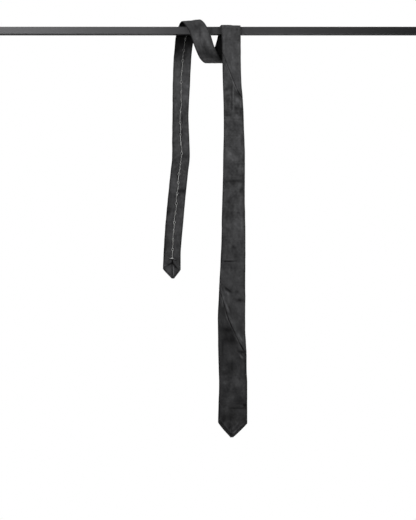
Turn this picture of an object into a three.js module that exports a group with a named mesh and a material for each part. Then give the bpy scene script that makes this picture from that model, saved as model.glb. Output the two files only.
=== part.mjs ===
// A slim leather necktie, wound once round a square display rail and left to hang.
// Millimetres, +Z up, +X to the right, +Y to the back. The origin lies on the rail's axis.
//
// The tie is one flat tube of leather: a smooth front wall whose two long edges are folded
// to the back, where the flaps meet at a slit. Its route is followed from the tip of the
// narrow tail, up behind the rail, over it in a standing arch, down in front, round the
// bottom of the loop, up behind again, tight over the rail and down to the tip of the blade.

import * as THREE from "three";

// ---- Driving dimensions ------------------------------------------------------------------

const RAIL = { side: 14.2, edgeRadius: 1, edgeSegments: 4, length: 840 };
const SEAT_GAP = 0.3;

// wall: leather thickness. middle and edge: thickness of the folded tube at its centre and
// at its folded edges. tip: its thickness near both tips, where a facing lies inside it.
const TUBE = { wall: 1.0, middle: 3.0, edge: 2.5, tip: 3.6, slit: 0.8 };

// Heights of the folds' middle surface, and the radius of the loop's bottom.
const ARCH_TOP = 18.7;
const LOOP = { bottom: -59.6, radius: 6.4 };
const ARCH_LIFT = 4.6;
const ARCH_LIFT_LEFT = 0.45;
const ARCH_LIFT_REACH = 75;

const OFF_RAIL = RAIL.side / 2 + SEAT_GAP + TUBE.middle / 2;
const RAIL_BEND = RAIL.edgeRadius + SEAT_GAP + TUBE.middle / 2;

// The middle surface of the tube, seen from the side, as corners with rounded bends.
const ROUTE = [
  { at: "tailTip", y: 9.6, z: -470.2, bend: 0 },
  { at: "tailBelly", y: 6.8, z: -300, bend: 400 },
  { at: "tailUpper", y: 7.2, z: -120, bend: 300 },
  { at: "tailTop", y: OFF_RAIL, z: -14, bend: 60 },
  { at: "archBack", y: OFF_RAIL, z: ARCH_TOP, bend: OFF_RAIL },
  { at: "archFront", y: -OFF_RAIL, z: ARCH_TOP, bend: OFF_RAIL },
  { at: "frontRun", y: -OFF_RAIL, z: -12, bend: 40 },
  { at: "loopFront", y: -LOOP.radius, z: LOOP.bottom, bend: LOOP.radius },
  { at: "loopBack", y: LOOP.radius, z: LOOP.bottom, bend: LOOP.radius },
  { at: "backRun", y: OFF_RAIL, z: -12, bend: 40 },
  { at: "railBack", y: OFF_RAIL, z: OFF_RAIL, bend: RAIL_BEND },
  { at: "railFront", y: -OFF_RAIL, z: OFF_RAIL, bend: RAIL_BEND },
  { at: "bladeTop", y: -OFF_RAIL, z: -8, bend: 40 },
  { at: "overLoop", y: -11.0, z: -62, bend: 90 },
  { at: "bladeUpper", y: -9.6, z: -180, bend: 300 },
  { at: "bladeLower", y: -10.6, z: -430, bend: 500 },
  { at: "bladeTip", y: -8.8, z: -770.4, bend: 0 },
];

// Left and right edges of the tube, level by level along each run of the route.
const OUTLINE = [
  { run: "tail", z: -450, left: -86.0, right: -52.1 },
  { run: "tail", z: -420, left: -84.8, right: -51.8 },
  { run: "tail", z: -390, left: -83.0, right: -49.6 },
  { run: "tail", z: -350, left: -79.8, right: -45.9 },
  { run: "tail", z: -310, left: -75.9, right: -42.3 },
  { run: "tail", z: -270, left: -71.8, right: -38.0 },
  { run: "tail", z: -240, left: -68.7, right: -34.7 },
  { run: "tail", z: -210, left: -68.5, right: -35.4 },
  { run: "tail", z: -160, left: -67.8, right: -37.0 },
  { run: "tail", z: -110, left: -67.5, right: -34.8 },
  { run: "tail", z: -60, left: -66.1, right: -32.3 },
  { run: "tail", z: -30, left: -63.8, right: -29.6 },
  { run: "tail", z: -10, left: -61.9, right: -25.6 },
  { run: "tail", z: 8, left: -57.5, right: -20.5 },
  { run: "archTop", left: -50.7, right: -16.0 },
  { run: "front", z: 10, left: -42.9, right: -5.4 },
  { run: "front", z: -2, left: -35.6, right: 1.6 },
  { run: "front", z: -12, left: -32.0, right: 5.7 },
  { run: "front", z: -32, left: -25.2, right: 12.4 },
  { run: "front", z: -44, left: -20.1, right: 18.2 },
  { run: "front", z: -54, left: -14.8, right: 25.6 },
  { run: "loopBottom", left: -6.8, right: 34.4 },
  { run: "back", z: -50, left: 2.4, right: 41.2 },
  { run: "back", z: -28, left: 13.0, right: 51.2 },
  { run: "back", z: -8, left: 18.6, right: 56.6 },
  { run: "railTop", left: 22.8, right: 61.2 },
  { run: "blade", z: 2, left: 24.8, right: 61.8 },
  { run: "blade", z: -20, left: 26.2, right: 62.0 },
  { run: "blade", z: -60, left: 27.0, right: 62.2 },
  { run: "blade", z: -100, left: 28.0, right: 63.3 },
  { run: "blade", z: -130, left: 29.1, right: 65.8 },
  { run: "blade", z: -160, left: 29.5, right: 67.4 },
  { run: "blade", z: -200, left: 29.6, right: 68.7 },
  { run: "blade", z: -240, left: 28.6, right: 70.0 },
  { run: "blade", z: -280, left: 28.0, right: 69.8 },
  { run: "blade", z: -320, left: 27.0, right: 69.8 },
  { run: "blade", z: -360, left: 25.9, right: 70.6 },
  { run: "blade", z: -400, left: 25.2, right: 70.8 },
  { run: "blade", z: -440, left: 23.4, right: 70.8 },
  { run: "blade", z: -480, left: 21.2, right: 70.5 },
  { run: "blade", z: -510, left: 20.0, right: 70.7 },
  { run: "blade", z: -540, left: 18.6, right: 70.5 },
  { run: "blade", z: -575, left: 18.9, right: 70.8 },
  { run: "blade", z: -610, left: 19.2, right: 72.9 },
  { run: "blade", z: -640, left: 20.1, right: 73.3 },
  { run: "blade", z: -670, left: 20.8, right: 74.2 },
  { run: "blade", z: -700, left: 20.0, right: 74.2 },
  { run: "blade", z: -725, left: 19.4, right: 74.4 },
  { run: "blade", z: -760, left: 18.4, right: 74.6 },
];

// Each tip is a point cut at about a right angle. The flaps end above it in an inverted V.
const TAIL_END = {
  x: -66.7, point: -473.6, rounded: -467.6, cut: -470.2,
  leftShoulder: -452.4, rightShoulder: -453.9, vTop: -440, vLeft: -447.2, vRight: -453.6,
};
const BLADE_END = {
  x: 45.2, point: -774.6, rounded: -767.6, cut: -770.4,
  leftShoulder: -742.0, rightShoulder: -744.8, vTop: -721, vLeft: -740.8, vRight: -743.6,
};
// Width of the turned-in edge beside a point, half the width of its blunt end, and how far
// up from each tip the tube keeps its full thickness at the edges.
const TURN_IN = 3.2;
const BLUNT = 2.7;
const TIP_STIFF = { full: 70, fading: 110 };

// The two seams that join the leather panels run down the blade on the slant. across goes
// from -1 at the left edge to 1 at the right edge. level and plain are the heights at which
// the rows of the mesh are straight again above and below the seam.
const UPPER_SEAM = {
  plainAbove: -10, plainBelow: -190, flapRun: 20,
  line: [
    { across: -1, z: -44.5 },
    { across: -0.72, z: -57.5 },
    { across: -0.22, z: -78.5 },
    { across: -0.05, z: -87.3 },
    { across: 0.29, z: -102.5 },
    { across: 0.59, z: -116.5 },
    { across: 1, z: -129 },
  ],
};
const LOWER_SEAM = {
  plainAbove: -440, plainBelow: -690, flapRun: 24,
  line: [
    { across: -1, z: -491 },
    { across: -0.6, z: -519 },
    { across: -0.27, z: -545 },
    { across: 0.14, z: -568 },
    { across: 0.59, z: -592 },
    { across: 1, z: -612 },
  ],
};

// The facing inside each tip: inset from the edges, from above the V down to near the end.
const FACING = { thick: 1.0, inset: 1.6, mitreGap: 0.3, above: 16, stop: 5 };

// Rows of the mesh: the longest step along the route, the widest turn in a bend, and the
// least distance at which two rows are kept apart.
const ROW_STEP = 24;
const BEND_STEP = THREE.MathUtils.degToRad(24);
const ROW_GAP = 0.4;

const TOO_SHORT = 0.01;
const HALVINGS = 40;

// ---- The route as lines and arcs ---------------------------------------------------------

function layRoute(corners) {
  const pieces = [];
  const endOf = {};
  let length = 0;
  const from = new THREE.Vector2(corners[0].y, corners[0].z);
  const add = (piece) => {
    pieces.push({ start: length, ...piece });
    length += piece.size;
  };
  for (let i = 1; i < corners.length; i += 1) {
    const corner = new THREE.Vector2(corners[i].y, corners[i].z);
    const heading = corner.clone().sub(from).normalize();
    if (corners[i].bend === 0) {
      add({ kind: "line", from: from.clone(), heading, size: corner.distanceTo(from) });
      continue;
    }
    const beyond = new THREE.Vector2(corners[i + 1].y, corners[i + 1].z);
    const leaving = beyond.sub(corner).normalize();
    const turn = Math.atan2(heading.cross(leaving), heading.dot(leaving));
    const cutBack = corners[i].bend * Math.tan(Math.abs(turn) / 2);
    const arcStart = corner.clone().addScaledVector(heading, -cutBack);
    const straight = arcStart.distanceTo(from);
    if (straight > TOO_SHORT) {
      add({ kind: "line", from: from.clone(), heading, size: straight });
    }
    const side = Math.sign(turn);
    const inward = new THREE.Vector2(-heading.y, heading.x).multiplyScalar(side);
    const centre = arcStart.clone().addScaledVector(inward, corners[i].bend);
    add({
      kind: "arc", centre, radius: corners[i].bend, side,
      angle: Math.atan2(arcStart.y - centre.y, arcStart.x - centre.x),
      size: corners[i].bend * Math.abs(turn),
    });
    endOf[corners[i].at] = length;
    from.copy(corner).addScaledVector(leaving, cutBack);
  }
  return { pieces, endOf, length };
}

const route = layRoute(ROUTE);

// Position on the route and its outward normal, the way the smooth front wall faces.
function routeAt(s) {
  const within = THREE.MathUtils.clamp(s, 0, route.length);
  const piece = route.pieces.findLast((one) => one.start <= within);
  const run = within - piece.start;
  if (piece.kind === "line") {
    return {
      y: piece.from.x + piece.heading.x * run,
      z: piece.from.y + piece.heading.y * run,
      outY: piece.heading.y,
      outZ: -piece.heading.x,
    };
  }
  const angle = piece.angle + (piece.side * run) / piece.radius;
  return {
    y: piece.centre.x + piece.radius * Math.cos(angle),
    z: piece.centre.y + piece.radius * Math.sin(angle),
    outY: piece.side * Math.cos(angle),
    outZ: piece.side * Math.sin(angle),
  };
}

const TURNS = {
  archTop: route.endOf.archBack,
  loopBottom: route.endOf.loopFront,
  railTop: (route.endOf.railBack + route.endOf.railFront - RAIL_BEND * Math.PI / 2) / 2,
};
const RUNS = {
  tail: { from: 0, to: TURNS.archTop },
  front: { from: TURNS.archTop, to: TURNS.loopBottom },
  back: { from: TURNS.loopBottom, to: TURNS.railTop },
  blade: { from: TURNS.railTop, to: route.length },
};

// Distance along the route at which one of its runs passes a height.
function lengthAt(run, z) {
  let { from, to } = RUNS[run];
  const rising = routeAt(to).z > routeAt(from).z;
  for (let i = 0; i < HALVINGS; i += 1) {
    const middle = (from + to) / 2;
    if (routeAt(middle).z < z === rising) {
      from = middle;
    } else {
      to = middle;
    }
  }
  return (from + to) / 2;
}

// ---- Edges, folds and thickness of the tube ----------------------------------------------

const outline = OUTLINE.map((row) => ({
  s: row.run in TURNS ? TURNS[row.run] : lengthAt(row.run, row.z),
  left: row.left,
  right: row.right,
}));

// Smooth curve through one column of a table whose rows are sorted by their key.
function smooth(rows, key, column, at) {
  const last = rows.length - 1;
  const next = rows.findIndex((row) => row[key] > at);
  const i = next < 0 ? last - 1 : Math.max(next - 1, 0);
  const slope = (k) => {
    const before = rows[Math.max(k - 1, 0)];
    const after = rows[Math.min(k + 1, last)];
    return (after[column] - before[column]) / (after[key] - before[key]);
  };
  const span = rows[i + 1][key] - rows[i][key];
  const t = THREE.MathUtils.clamp((at - rows[i][key]) / span, 0, 1);
  const u = 1 - t;
  return rows[i][column] * u * u * (1 + 2 * t)
    + rows[i + 1][column] * t * t * (3 - 2 * t)
    + (slope(i) * t * u * u - slope(i + 1) * t * t * u) * span;
}

// An edge below its shoulder: slanted towards the point, then rounded off above the cut.
function towardsTip(edge, z, shoulder, end, side) {
  if (z >= shoulder) {
    return edge;
  }
  const slanted = (level) => (
    THREE.MathUtils.mapLinear(level, shoulder, end.point, edge, end.x)
  );
  if (z >= end.rounded) {
    return slanted(z);
  }
  const from = slanted(end.rounded);
  return THREE.MathUtils.mapLinear(z, end.rounded, end.cut, from, end.x + side * BLUNT);
}

// The tube's two edges at a length, drawn in to the point near a tip.
function edgesAt(s) {
  const { z } = routeAt(s);
  const end = s < TURNS.archTop ? TAIL_END : BLADE_END;
  const left = smooth(outline, "s", "left", s);
  const right = smooth(outline, "s", "right", s);
  return {
    left: towardsTip(left, z, end.leftShoulder, end, -1),
    right: towardsTip(right, z, end.rightShoulder, end, 1),
  };
}

// Half the tube's thickness at its folded edges, greater where a facing lies inside.
function edgeHalfAt(s) {
  const toEnd = Math.min(s, route.length - s);
  const stiff = 1 - THREE.MathUtils.smoothstep(toEnd, TIP_STIFF.full, TIP_STIFF.fading);
  return THREE.MathUtils.lerp(TUBE.edge, TUBE.tip, stiff) / 2;
}

// How far each flap's inner edge stands off the centre line: half the slit, then out along
// the inverted V to a narrow turned-in edge beside the point.
function flapEdgesAt(s, half) {
  const { z } = routeAt(s);
  const end = s < TURNS.archTop ? TAIL_END : BLADE_END;
  const closed = TUBE.slit / 2;
  const open = Math.max(closed, half - TURN_IN);
  const side = (stop) => {
    const share = THREE.MathUtils.clamp((end.vTop - z) / (end.vTop - stop), 0, 1);
    return THREE.MathUtils.lerp(closed, open, share);
  };
  return { left: side(end.vLeft), right: side(end.vRight) };
}

function archLift(s) {
  const away = Math.abs(s - TURNS.archTop) / ARCH_LIFT_REACH;
  return ARCH_LIFT * (1 - THREE.MathUtils.smootherstep(away, 0, 1));
}

// A point of the tube: across from -1 to 1 between the edges, out from the middle surface.
function place(s, x, out) {
  const at = routeAt(s);
  const { left, right } = edgesAt(s);
  const across = (x - (left + right) / 2) / (right - left);
  const tilt = across < 0 ? across * ARCH_LIFT_LEFT : across;
  return new THREE.Vector3(x, at.y + at.outY * out, at.z + at.outZ * out + archLift(s) * tilt);
}

// ---- The leather's section ---------------------------------------------------------------

const FLAP_STOPS = [0, 0.5, 1];
const FRONT_STOPS = [-1, -0.6, 0, 0.6, 1];
const FOLD_TURNS = [0.25, 0.5, 0.75];

// Columns of the sheet, from the left flap's inner edge round the front to the right flap's.
const COLUMNS = [
  ...FLAP_STOPS.map((reach) => ({ part: "flap", side: -1, reach })),
  ...FOLD_TURNS.map((turn) => ({ part: "fold", side: -1, turn })),
  ...FRONT_STOPS.map((across) => ({ part: "front", across })),
  ...FOLD_TURNS.toReversed().map((turn) => ({ part: "fold", side: 1, turn })),
  ...FLAP_STOPS.toReversed().map((reach) => ({ part: "flap", side: 1, reach })),
];

// Half thickness across the tube: fullest at the centre, and no thinner there than at the folds.
function fullness(across, edgeHalf) {
  const middleHalf = Math.max(TUBE.middle / 2, edgeHalf);
  return edgeHalf + (middleHalf - edgeHalf) * (1 - across ** 4);
}

// Outer and inner point of the leather in one column at one length.
function leatherAt(column, s) {
  const { left, right } = edgesAt(s);
  const centre = (left + right) / 2;
  const half = (right - left) / 2;
  const edgeHalf = edgeHalfAt(s);
  const flat = half - edgeHalf;
  if (column.part === "fold") {
    const angle = Math.PI * column.turn;
    const ring = (radius) => place(
      s,
      centre + column.side * (flat + radius * Math.sin(angle)),
      -radius * Math.cos(angle),
    );
    return { outer: ring(edgeHalf), inner: ring(edgeHalf - TUBE.wall) };
  }
  if (column.part === "front") {
    const x = centre + column.across * flat;
    const out = fullness(column.across, edgeHalf);
    return { outer: place(s, x, out), inner: place(s, x, out - TUBE.wall) };
  }
  const edges = flapEdgesAt(s, half);
  const start = column.side < 0 ? edges.left : edges.right;
  const reach = THREE.MathUtils.lerp(start, flat, column.reach);
  const x = centre + column.side * reach;
  const out = fullness(reach / flat, edgeHalf);
  return { outer: place(s, x, -out), inner: place(s, x, TUBE.wall - out) };
}

// Where a slanted seam crosses a column. On the back it runs on along each flap.
function seamLength(seam, column) {
  const rows = seam.line;
  if (column.part === "front") {
    return lengthAt("blade", smooth(rows, "across", "z", column.across));
  }
  const edge = column.side < 0 ? rows[0].z : rows[rows.length - 1].z;
  const share = column.part === "flap" ? 1 - column.reach : 0;
  return lengthAt("blade", edge - column.side * seam.flapRun * share);
}

// Half the gap kept at a seam, measured along the route, wider where the seam is steep.
function seamGap(seam, index) {
  const a = COLUMNS[Math.max(index - 1, 0)];
  const b = COLUMNS[Math.min(index + 1, COLUMNS.length - 1)];
  const s = seamLength(seam, COLUMNS[index]);
  const apart = leatherAt(a, s).outer.distanceTo(leatherAt(b, s).outer);
  const rise = Math.abs(seamLength(seam, a) - seamLength(seam, b));
  return (SEAT_GAP / 2) * Math.hypot(1, rise / apart);
}

// ---- Closed sheets -----------------------------------------------------------------------

// Closes two grids of points, the outer and inner face of one sheet, with a rim all round.
function sheetGeometry(outer, inner) {
  const rows = outer.length;
  const columns = outer[0].length;
  const points = [...outer.flat(), ...inner.flat()];
  const face = rows * columns;
  const index = [];
  const quad = (a, b, c, d) => index.push(a, b, c, a, c, d);
  const at = (row, column) => row * columns + column;
  for (let r = 0; r + 1 < rows; r += 1) {
    for (let c = 0; c + 1 < columns; c += 1) {
      quad(at(r, c), at(r + 1, c), at(r + 1, c + 1), at(r, c + 1));
      quad(face + at(r, c), face + at(r, c + 1), face + at(r + 1, c + 1), face + at(r + 1, c));
    }
    const right = columns - 1;
    quad(at(r, 0), face + at(r, 0), face + at(r + 1, 0), at(r + 1, 0));
    quad(at(r, right), at(r + 1, right), face + at(r + 1, right), face + at(r, right));
  }
  const last = rows - 1;
  for (let c = 0; c + 1 < columns; c += 1) {
    quad(at(0, c), at(0, c + 1), face + at(0, c + 1), face + at(0, c));
    quad(at(last, c), face + at(last, c), face + at(last, c + 1), at(last, c + 1));
  }
  const geometry = new THREE.BufferGeometry();
  geometry.setFromPoints(points);
  geometry.setIndex(index);
  geometry.computeVertexNormals();
  return geometry;
}

// Lengths of the straight rows between two lengths: every end of a bend, and steps between.
function plainRows(from, to) {
  const stops = [from];
  for (const piece of route.pieces) {
    const low = Math.max(piece.start, from);
    const high = Math.min(piece.start + piece.size, to);
    if (high - low < TOO_SHORT) {
      continue;
    }
    const bent = piece.kind === "arc" ? (high - low) / piece.radius / BEND_STEP : 0;
    const steps = Math.ceil(Math.max((high - low) / ROW_STEP, bent));
    for (let i = 1; i <= steps; i += 1) {
      stops.push(low + ((high - low) * i) / steps);
    }
  }
  return stops;
}

// A panel is a stack of rows. Each row gives a length for every column of the leather.
function panelGeometry(rows) {
  const grid = rows.map((row) => COLUMNS.map((column, i) => leatherAt(column, row[i])));
  return sheetGeometry(
    grid.map((row) => row.map((pair) => pair.outer)),
    grid.map((row) => row.map((pair) => pair.inner)),
  );
}

// How many rows lie between a seam and the straight rows beyond it.
const SEAM_STEPS = 6;
const ABOVE = -1;
const BELOW = 1;

const straightRow = (s) => COLUMNS.map(() => s);
const seamRow = (seam, side) => COLUMNS.map(
  (column, i) => seamLength(seam, column) + side * seamGap(seam, i),
);
const blendRows = (from, to, steps) => Array.from({ length: steps }, (_, k) => (
  from.map((s, i) => THREE.MathUtils.lerp(s, to[i], (k + 1) / steps))
));

function rowsDownTo(seam) {
  const from = straightRow(lengthAt("blade", seam.plainAbove));
  return blendRows(from, seamRow(seam, ABOVE), SEAM_STEPS);
}

function rowsDownFrom(seam) {
  const from = seamRow(seam, BELOW);
  const to = straightRow(lengthAt("blade", seam.plainBelow));
  return [from, ...blendRows(from, to, SEAM_STEPS)];
}

// ---- The pieces --------------------------------------------------------------------------

// Rows that the shoulders and the V of a tip need, besides the plain ones.
function tipRows(run, end) {
  const levels = [
    end.vTop, end.vLeft, end.vRight, end.leftShoulder, end.rightShoulder, end.rounded,
  ];
  return levels.map((z) => lengthAt(run, z));
}

function mergeRows(...lists) {
  const sorted = lists.flat().sort((a, b) => a - b);
  return sorted.filter((s, i) => i === 0 || s - sorted[i - 1] > ROW_GAP);
}

// The longest panel: the whole tail, the arch, the loop and the turn over the rail.
function tailAndNeck() {
  const upTo = lengthAt("blade", UPPER_SEAM.plainAbove);
  const lengths = mergeRows(plainRows(0, upTo), tipRows("tail", TAIL_END));
  return panelGeometry([...lengths.map(straightRow), ...rowsDownTo(UPPER_SEAM)]);
}

function bladeMiddle() {
  const from = lengthAt("blade", UPPER_SEAM.plainBelow);
  const to = lengthAt("blade", LOWER_SEAM.plainAbove);
  const plain = plainRows(from, to).slice(1);
  return panelGeometry([
    ...rowsDownFrom(UPPER_SEAM), ...plain.map(straightRow), ...rowsDownTo(LOWER_SEAM),
  ]);
}

function bladeEnd() {
  const from = lengthAt("blade", LOWER_SEAM.plainBelow);
  const lengths = mergeRows(plainRows(from, route.length), tipRows("blade", BLADE_END));
  return panelGeometry([...rowsDownFrom(LOWER_SEAM), ...lengths.slice(1).map(straightRow)]);
}

// Half of a tip's facing: a flat leather piece inside the tube, mitred at the centre.
function facing(run, end, side) {
  const levels = [
    end.vTop + FACING.above, end.vTop, end.leftShoulder, end.rightShoulder,
    end.cut + FACING.stop,
  ];
  const middleAt = (z) => {
    const { left, right } = edgesAt(lengthAt(run, z));
    return (left + right) / 2;
  };
  const mitreAt = (z) => (z > end.vTop
    ? middleAt(z)
    : THREE.MathUtils.mapLinear(z, end.vTop, end.point, middleAt(end.vTop), end.x));
  const faces = [FACING.thick / 2, -FACING.thick / 2].map((out) => levels.map((z) => {
    const s = lengthAt(run, z);
    const { left, right } = edgesAt(s);
    const inset = FACING.inset * (z < end.leftShoulder ? Math.SQRT2 : 1);
    const outside = side < 0 ? left + inset : right - inset;
    const inside = mitreAt(z) + (side * FACING.mitreGap) / 2;
    return [inside, outside].sort((p, q) => p - q).map((x) => place(s, x, out));
  }));
  // Rows follow the route, so the tail's run upwards from its tip.
  const [outer, inner] = run === "tail" ? faces.map((grid) => grid.toReversed()) : faces;
  return sheetGeometry(outer, inner);
}

// The rail: a plain square bar with slightly rounded long edges.
function railGeometry() {
  const half = RAIL.side / 2;
  const flat = half - RAIL.edgeRadius;
  const section = new THREE.Shape();
  section.moveTo(flat, -half);
  section.absarc(flat, -flat, RAIL.edgeRadius, -Math.PI / 2, 0, false);
  section.absarc(flat, flat, RAIL.edgeRadius, 0, Math.PI / 2, false);
  section.absarc(-flat, flat, RAIL.edgeRadius, Math.PI / 2, Math.PI, false);
  section.absarc(-flat, -flat, RAIL.edgeRadius, Math.PI, Math.PI * 1.5, false);
  const bar = new THREE.ExtrudeGeometry(section, {
    depth: RAIL.length, bevelEnabled: false, curveSegments: RAIL.edgeSegments,
  });
  return bar.translate(0, 0, -RAIL.length / 2).rotateY(Math.PI / 2);
}

// ---- Materials and assembly --------------------------------------------------------------

const leather = (color, roughness) => new THREE.MeshStandardMaterial({
  color, roughness, metalness: 0,
});
const coatedMetal = () => new THREE.MeshStandardMaterial({
  color: 0x2e2e30, roughness: 0.5, metalness: 0.4,
});

const LEATHER_BLACK = 0x1d1d1f;
const FACING_BLACK = 0x232325;

const necktieOnRail = new THREE.Group();

function addPiece(name, geometry, material) {
  const mesh = new THREE.Mesh(geometry, material);
  mesh.name = name;
  necktieOnRail.add(mesh);
}

addPiece("rail", railGeometry(), coatedMetal());
addPiece("tail_and_neck_panel", tailAndNeck(), leather(LEATHER_BLACK, 0.55));
addPiece("blade_middle_panel", bladeMiddle(), leather(LEATHER_BLACK, 0.55));
addPiece("blade_end_panel", bladeEnd(), leather(LEATHER_BLACK, 0.55));
for (const [name, run, end] of [["tail", "tail", TAIL_END], ["blade", "blade", BLADE_END]]) {
  addPiece(`${name}_facing_left`, facing(run, end, -1), leather(FACING_BLACK, 0.7));
  addPiece(`${name}_facing_right`, facing(run, end, 1), leather(FACING_BLACK, 0.7));
}

export default necktieOnRail;
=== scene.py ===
import math

import bpy
import numpy as np
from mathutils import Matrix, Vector


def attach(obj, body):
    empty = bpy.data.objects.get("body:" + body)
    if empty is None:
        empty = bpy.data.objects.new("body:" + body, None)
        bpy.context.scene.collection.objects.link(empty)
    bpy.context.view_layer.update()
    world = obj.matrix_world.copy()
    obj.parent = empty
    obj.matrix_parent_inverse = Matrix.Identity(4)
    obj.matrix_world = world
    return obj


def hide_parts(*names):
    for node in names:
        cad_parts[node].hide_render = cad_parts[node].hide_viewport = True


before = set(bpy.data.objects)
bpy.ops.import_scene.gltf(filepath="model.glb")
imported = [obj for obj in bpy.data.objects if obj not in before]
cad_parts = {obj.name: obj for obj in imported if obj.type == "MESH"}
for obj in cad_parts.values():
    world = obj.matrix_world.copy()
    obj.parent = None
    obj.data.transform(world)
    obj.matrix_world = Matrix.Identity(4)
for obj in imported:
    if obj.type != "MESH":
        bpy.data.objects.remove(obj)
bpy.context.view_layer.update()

# ---- Tail and neck panel ---------------------------------------------------------------------
# The longest panel of the tie: one sheet of black leather whose long edges are folded to the
# back, where two flaps meet at a slit. It is cut on the flat, folded and sewn up the back, and
# it makes the whole tail, the arch over the rail, the loop and the tight turn over the rail.

MM = 0.001

RAIL_SIDE = 14.2
RAIL_EDGE = 1.0
SEAT_GAP = 0.3
WALL = 1.0
MIDDLE = 3.0
EDGE = 2.5
TIP_THICK = 3.6
POINT_THICK = 2.2
STIFF_NEAR = 70
STIFF_FAR = 110
POINT_RUN = 6
SHOULDER_BOW = 1.1
BLUNT_BOW = 0.97
OFF_RAIL = RAIL_SIDE / 2 + SEAT_GAP + MIDDLE / 2
RAIL_BEND = RAIL_EDGE + SEAT_GAP + MIDDLE / 2
ARCH_TOP = 18.7
ARCH_LIFT = 4.6
ARCH_LIFT_LEFT = 0.45
ARCH_LIFT_REACH = 75.0
LOOP_BOTTOM = -59.6
LOOP_RADIUS = 6.4

# Side view of the tie's middle surface, from the tail's tip to the blade's: corners and bends.
ROUTE = [
    dict(at="tail_tip", y=9.6, z=-470.2, bend=0),
    dict(at="tail_belly", y=6.8, z=-300, bend=400),
    dict(at="tail_upper", y=7.2, z=-120, bend=300),
    dict(at="tail_top", y=OFF_RAIL, z=-14, bend=60),
    dict(at="arch_back", y=OFF_RAIL, z=ARCH_TOP, bend=OFF_RAIL),
    dict(at="arch_front", y=-OFF_RAIL, z=ARCH_TOP, bend=OFF_RAIL),
    dict(at="front_run", y=-OFF_RAIL, z=-12, bend=40),
    dict(at="loop_front", y=-LOOP_RADIUS, z=LOOP_BOTTOM, bend=LOOP_RADIUS),
    dict(at="loop_back", y=LOOP_RADIUS, z=LOOP_BOTTOM, bend=LOOP_RADIUS),
    dict(at="back_run", y=OFF_RAIL, z=-12, bend=40),
    dict(at="rail_back", y=OFF_RAIL, z=OFF_RAIL, bend=RAIL_BEND),
    dict(at="rail_front", y=-OFF_RAIL, z=OFF_RAIL, bend=RAIL_BEND),
    dict(at="blade_top", y=-OFF_RAIL, z=-8, bend=40),
    dict(at="over_loop", y=-11.0, z=-62, bend=90),
    dict(at="blade_upper", y=-9.6, z=-180, bend=300),
    dict(at="blade_lower", y=-10.6, z=-430, bend=500),
    dict(at="blade_tip", y=-8.8, z=-770.4, bend=0),
]

# Left and right edges of the tie: for each run, rows of level, left edge and right edge, and for
# each turn between two runs its own pair.
OUTLINE = [
    dict(run="tail", rows=[
        (-450, -86.0, -52.1), (-420, -84.8, -51.8), (-390, -83.0, -49.6), (-350, -79.8, -45.9),
        (-310, -75.9, -42.3), (-270, -71.8, -38.0), (-240, -68.7, -34.7), (-210, -68.5, -35.4),
        (-160, -67.8, -37.0), (-110, -67.5, -34.8), (-60, -66.1, -32.3), (-30, -63.8, -29.6),
        (-10, -61.9, -25.6), (8, -57.5, -20.5),
    ]),
    dict(turn="arch_top", left=-50.7, right=-16.0),
    dict(run="front", rows=[
        (10, -42.9, -5.4), (-2, -35.6, 1.6), (-12, -32.0, 5.7), (-32, -25.2, 12.4),
        (-44, -20.1, 18.2), (-54, -14.8, 25.6),
    ]),
    dict(turn="loop_bottom", left=-6.8, right=34.4),
    dict(run="back", rows=[
        (-50, 2.4, 41.2), (-28, 13.0, 51.2), (-8, 18.6, 56.6),
    ]),
    dict(turn="rail_top", left=22.8, right=61.2),
    dict(run="blade", rows=[
        (2, 24.8, 61.8), (-20, 26.2, 62.0), (-60, 27.0, 62.2), (-100, 28.0, 63.3),
        (-130, 29.1, 65.8), (-160, 29.5, 67.4), (-200, 29.6, 68.7), (-240, 28.6, 70.0),
        (-280, 28.0, 69.8), (-320, 27.0, 69.8), (-360, 25.9, 70.6), (-400, 25.2, 70.8),
        (-440, 23.4, 70.8), (-480, 21.2, 70.5), (-510, 20.0, 70.7), (-540, 18.6, 70.5),
        (-575, 18.9, 70.8), (-610, 19.2, 72.9), (-640, 20.1, 73.3), (-670, 20.8, 74.2),
        (-700, 20.0, 74.2), (-725, 19.4, 74.4), (-760, 18.4, 74.6),
    ]),
]

TAIL_END = dict(
    x=-66.7, point=-472.6, rounded=-469.8, cut=-472.0, blunt=1.4,
    left_shoulder=-452.2, right_shoulder=-453.2, v_top=-440.0, v_left=-447.2, v_right=-453.6,
)
BLADE_END = dict(
    x=44.7, point=-773.0, rounded=-768.8, cut=-769.9, blunt=2.4,
    left_shoulder=-742.0, right_shoulder=-743.9, v_top=-721.0, v_left=-740.8, v_right=-743.6,
)
TURN_IN = 2.3
SLIT = 0.5


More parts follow.
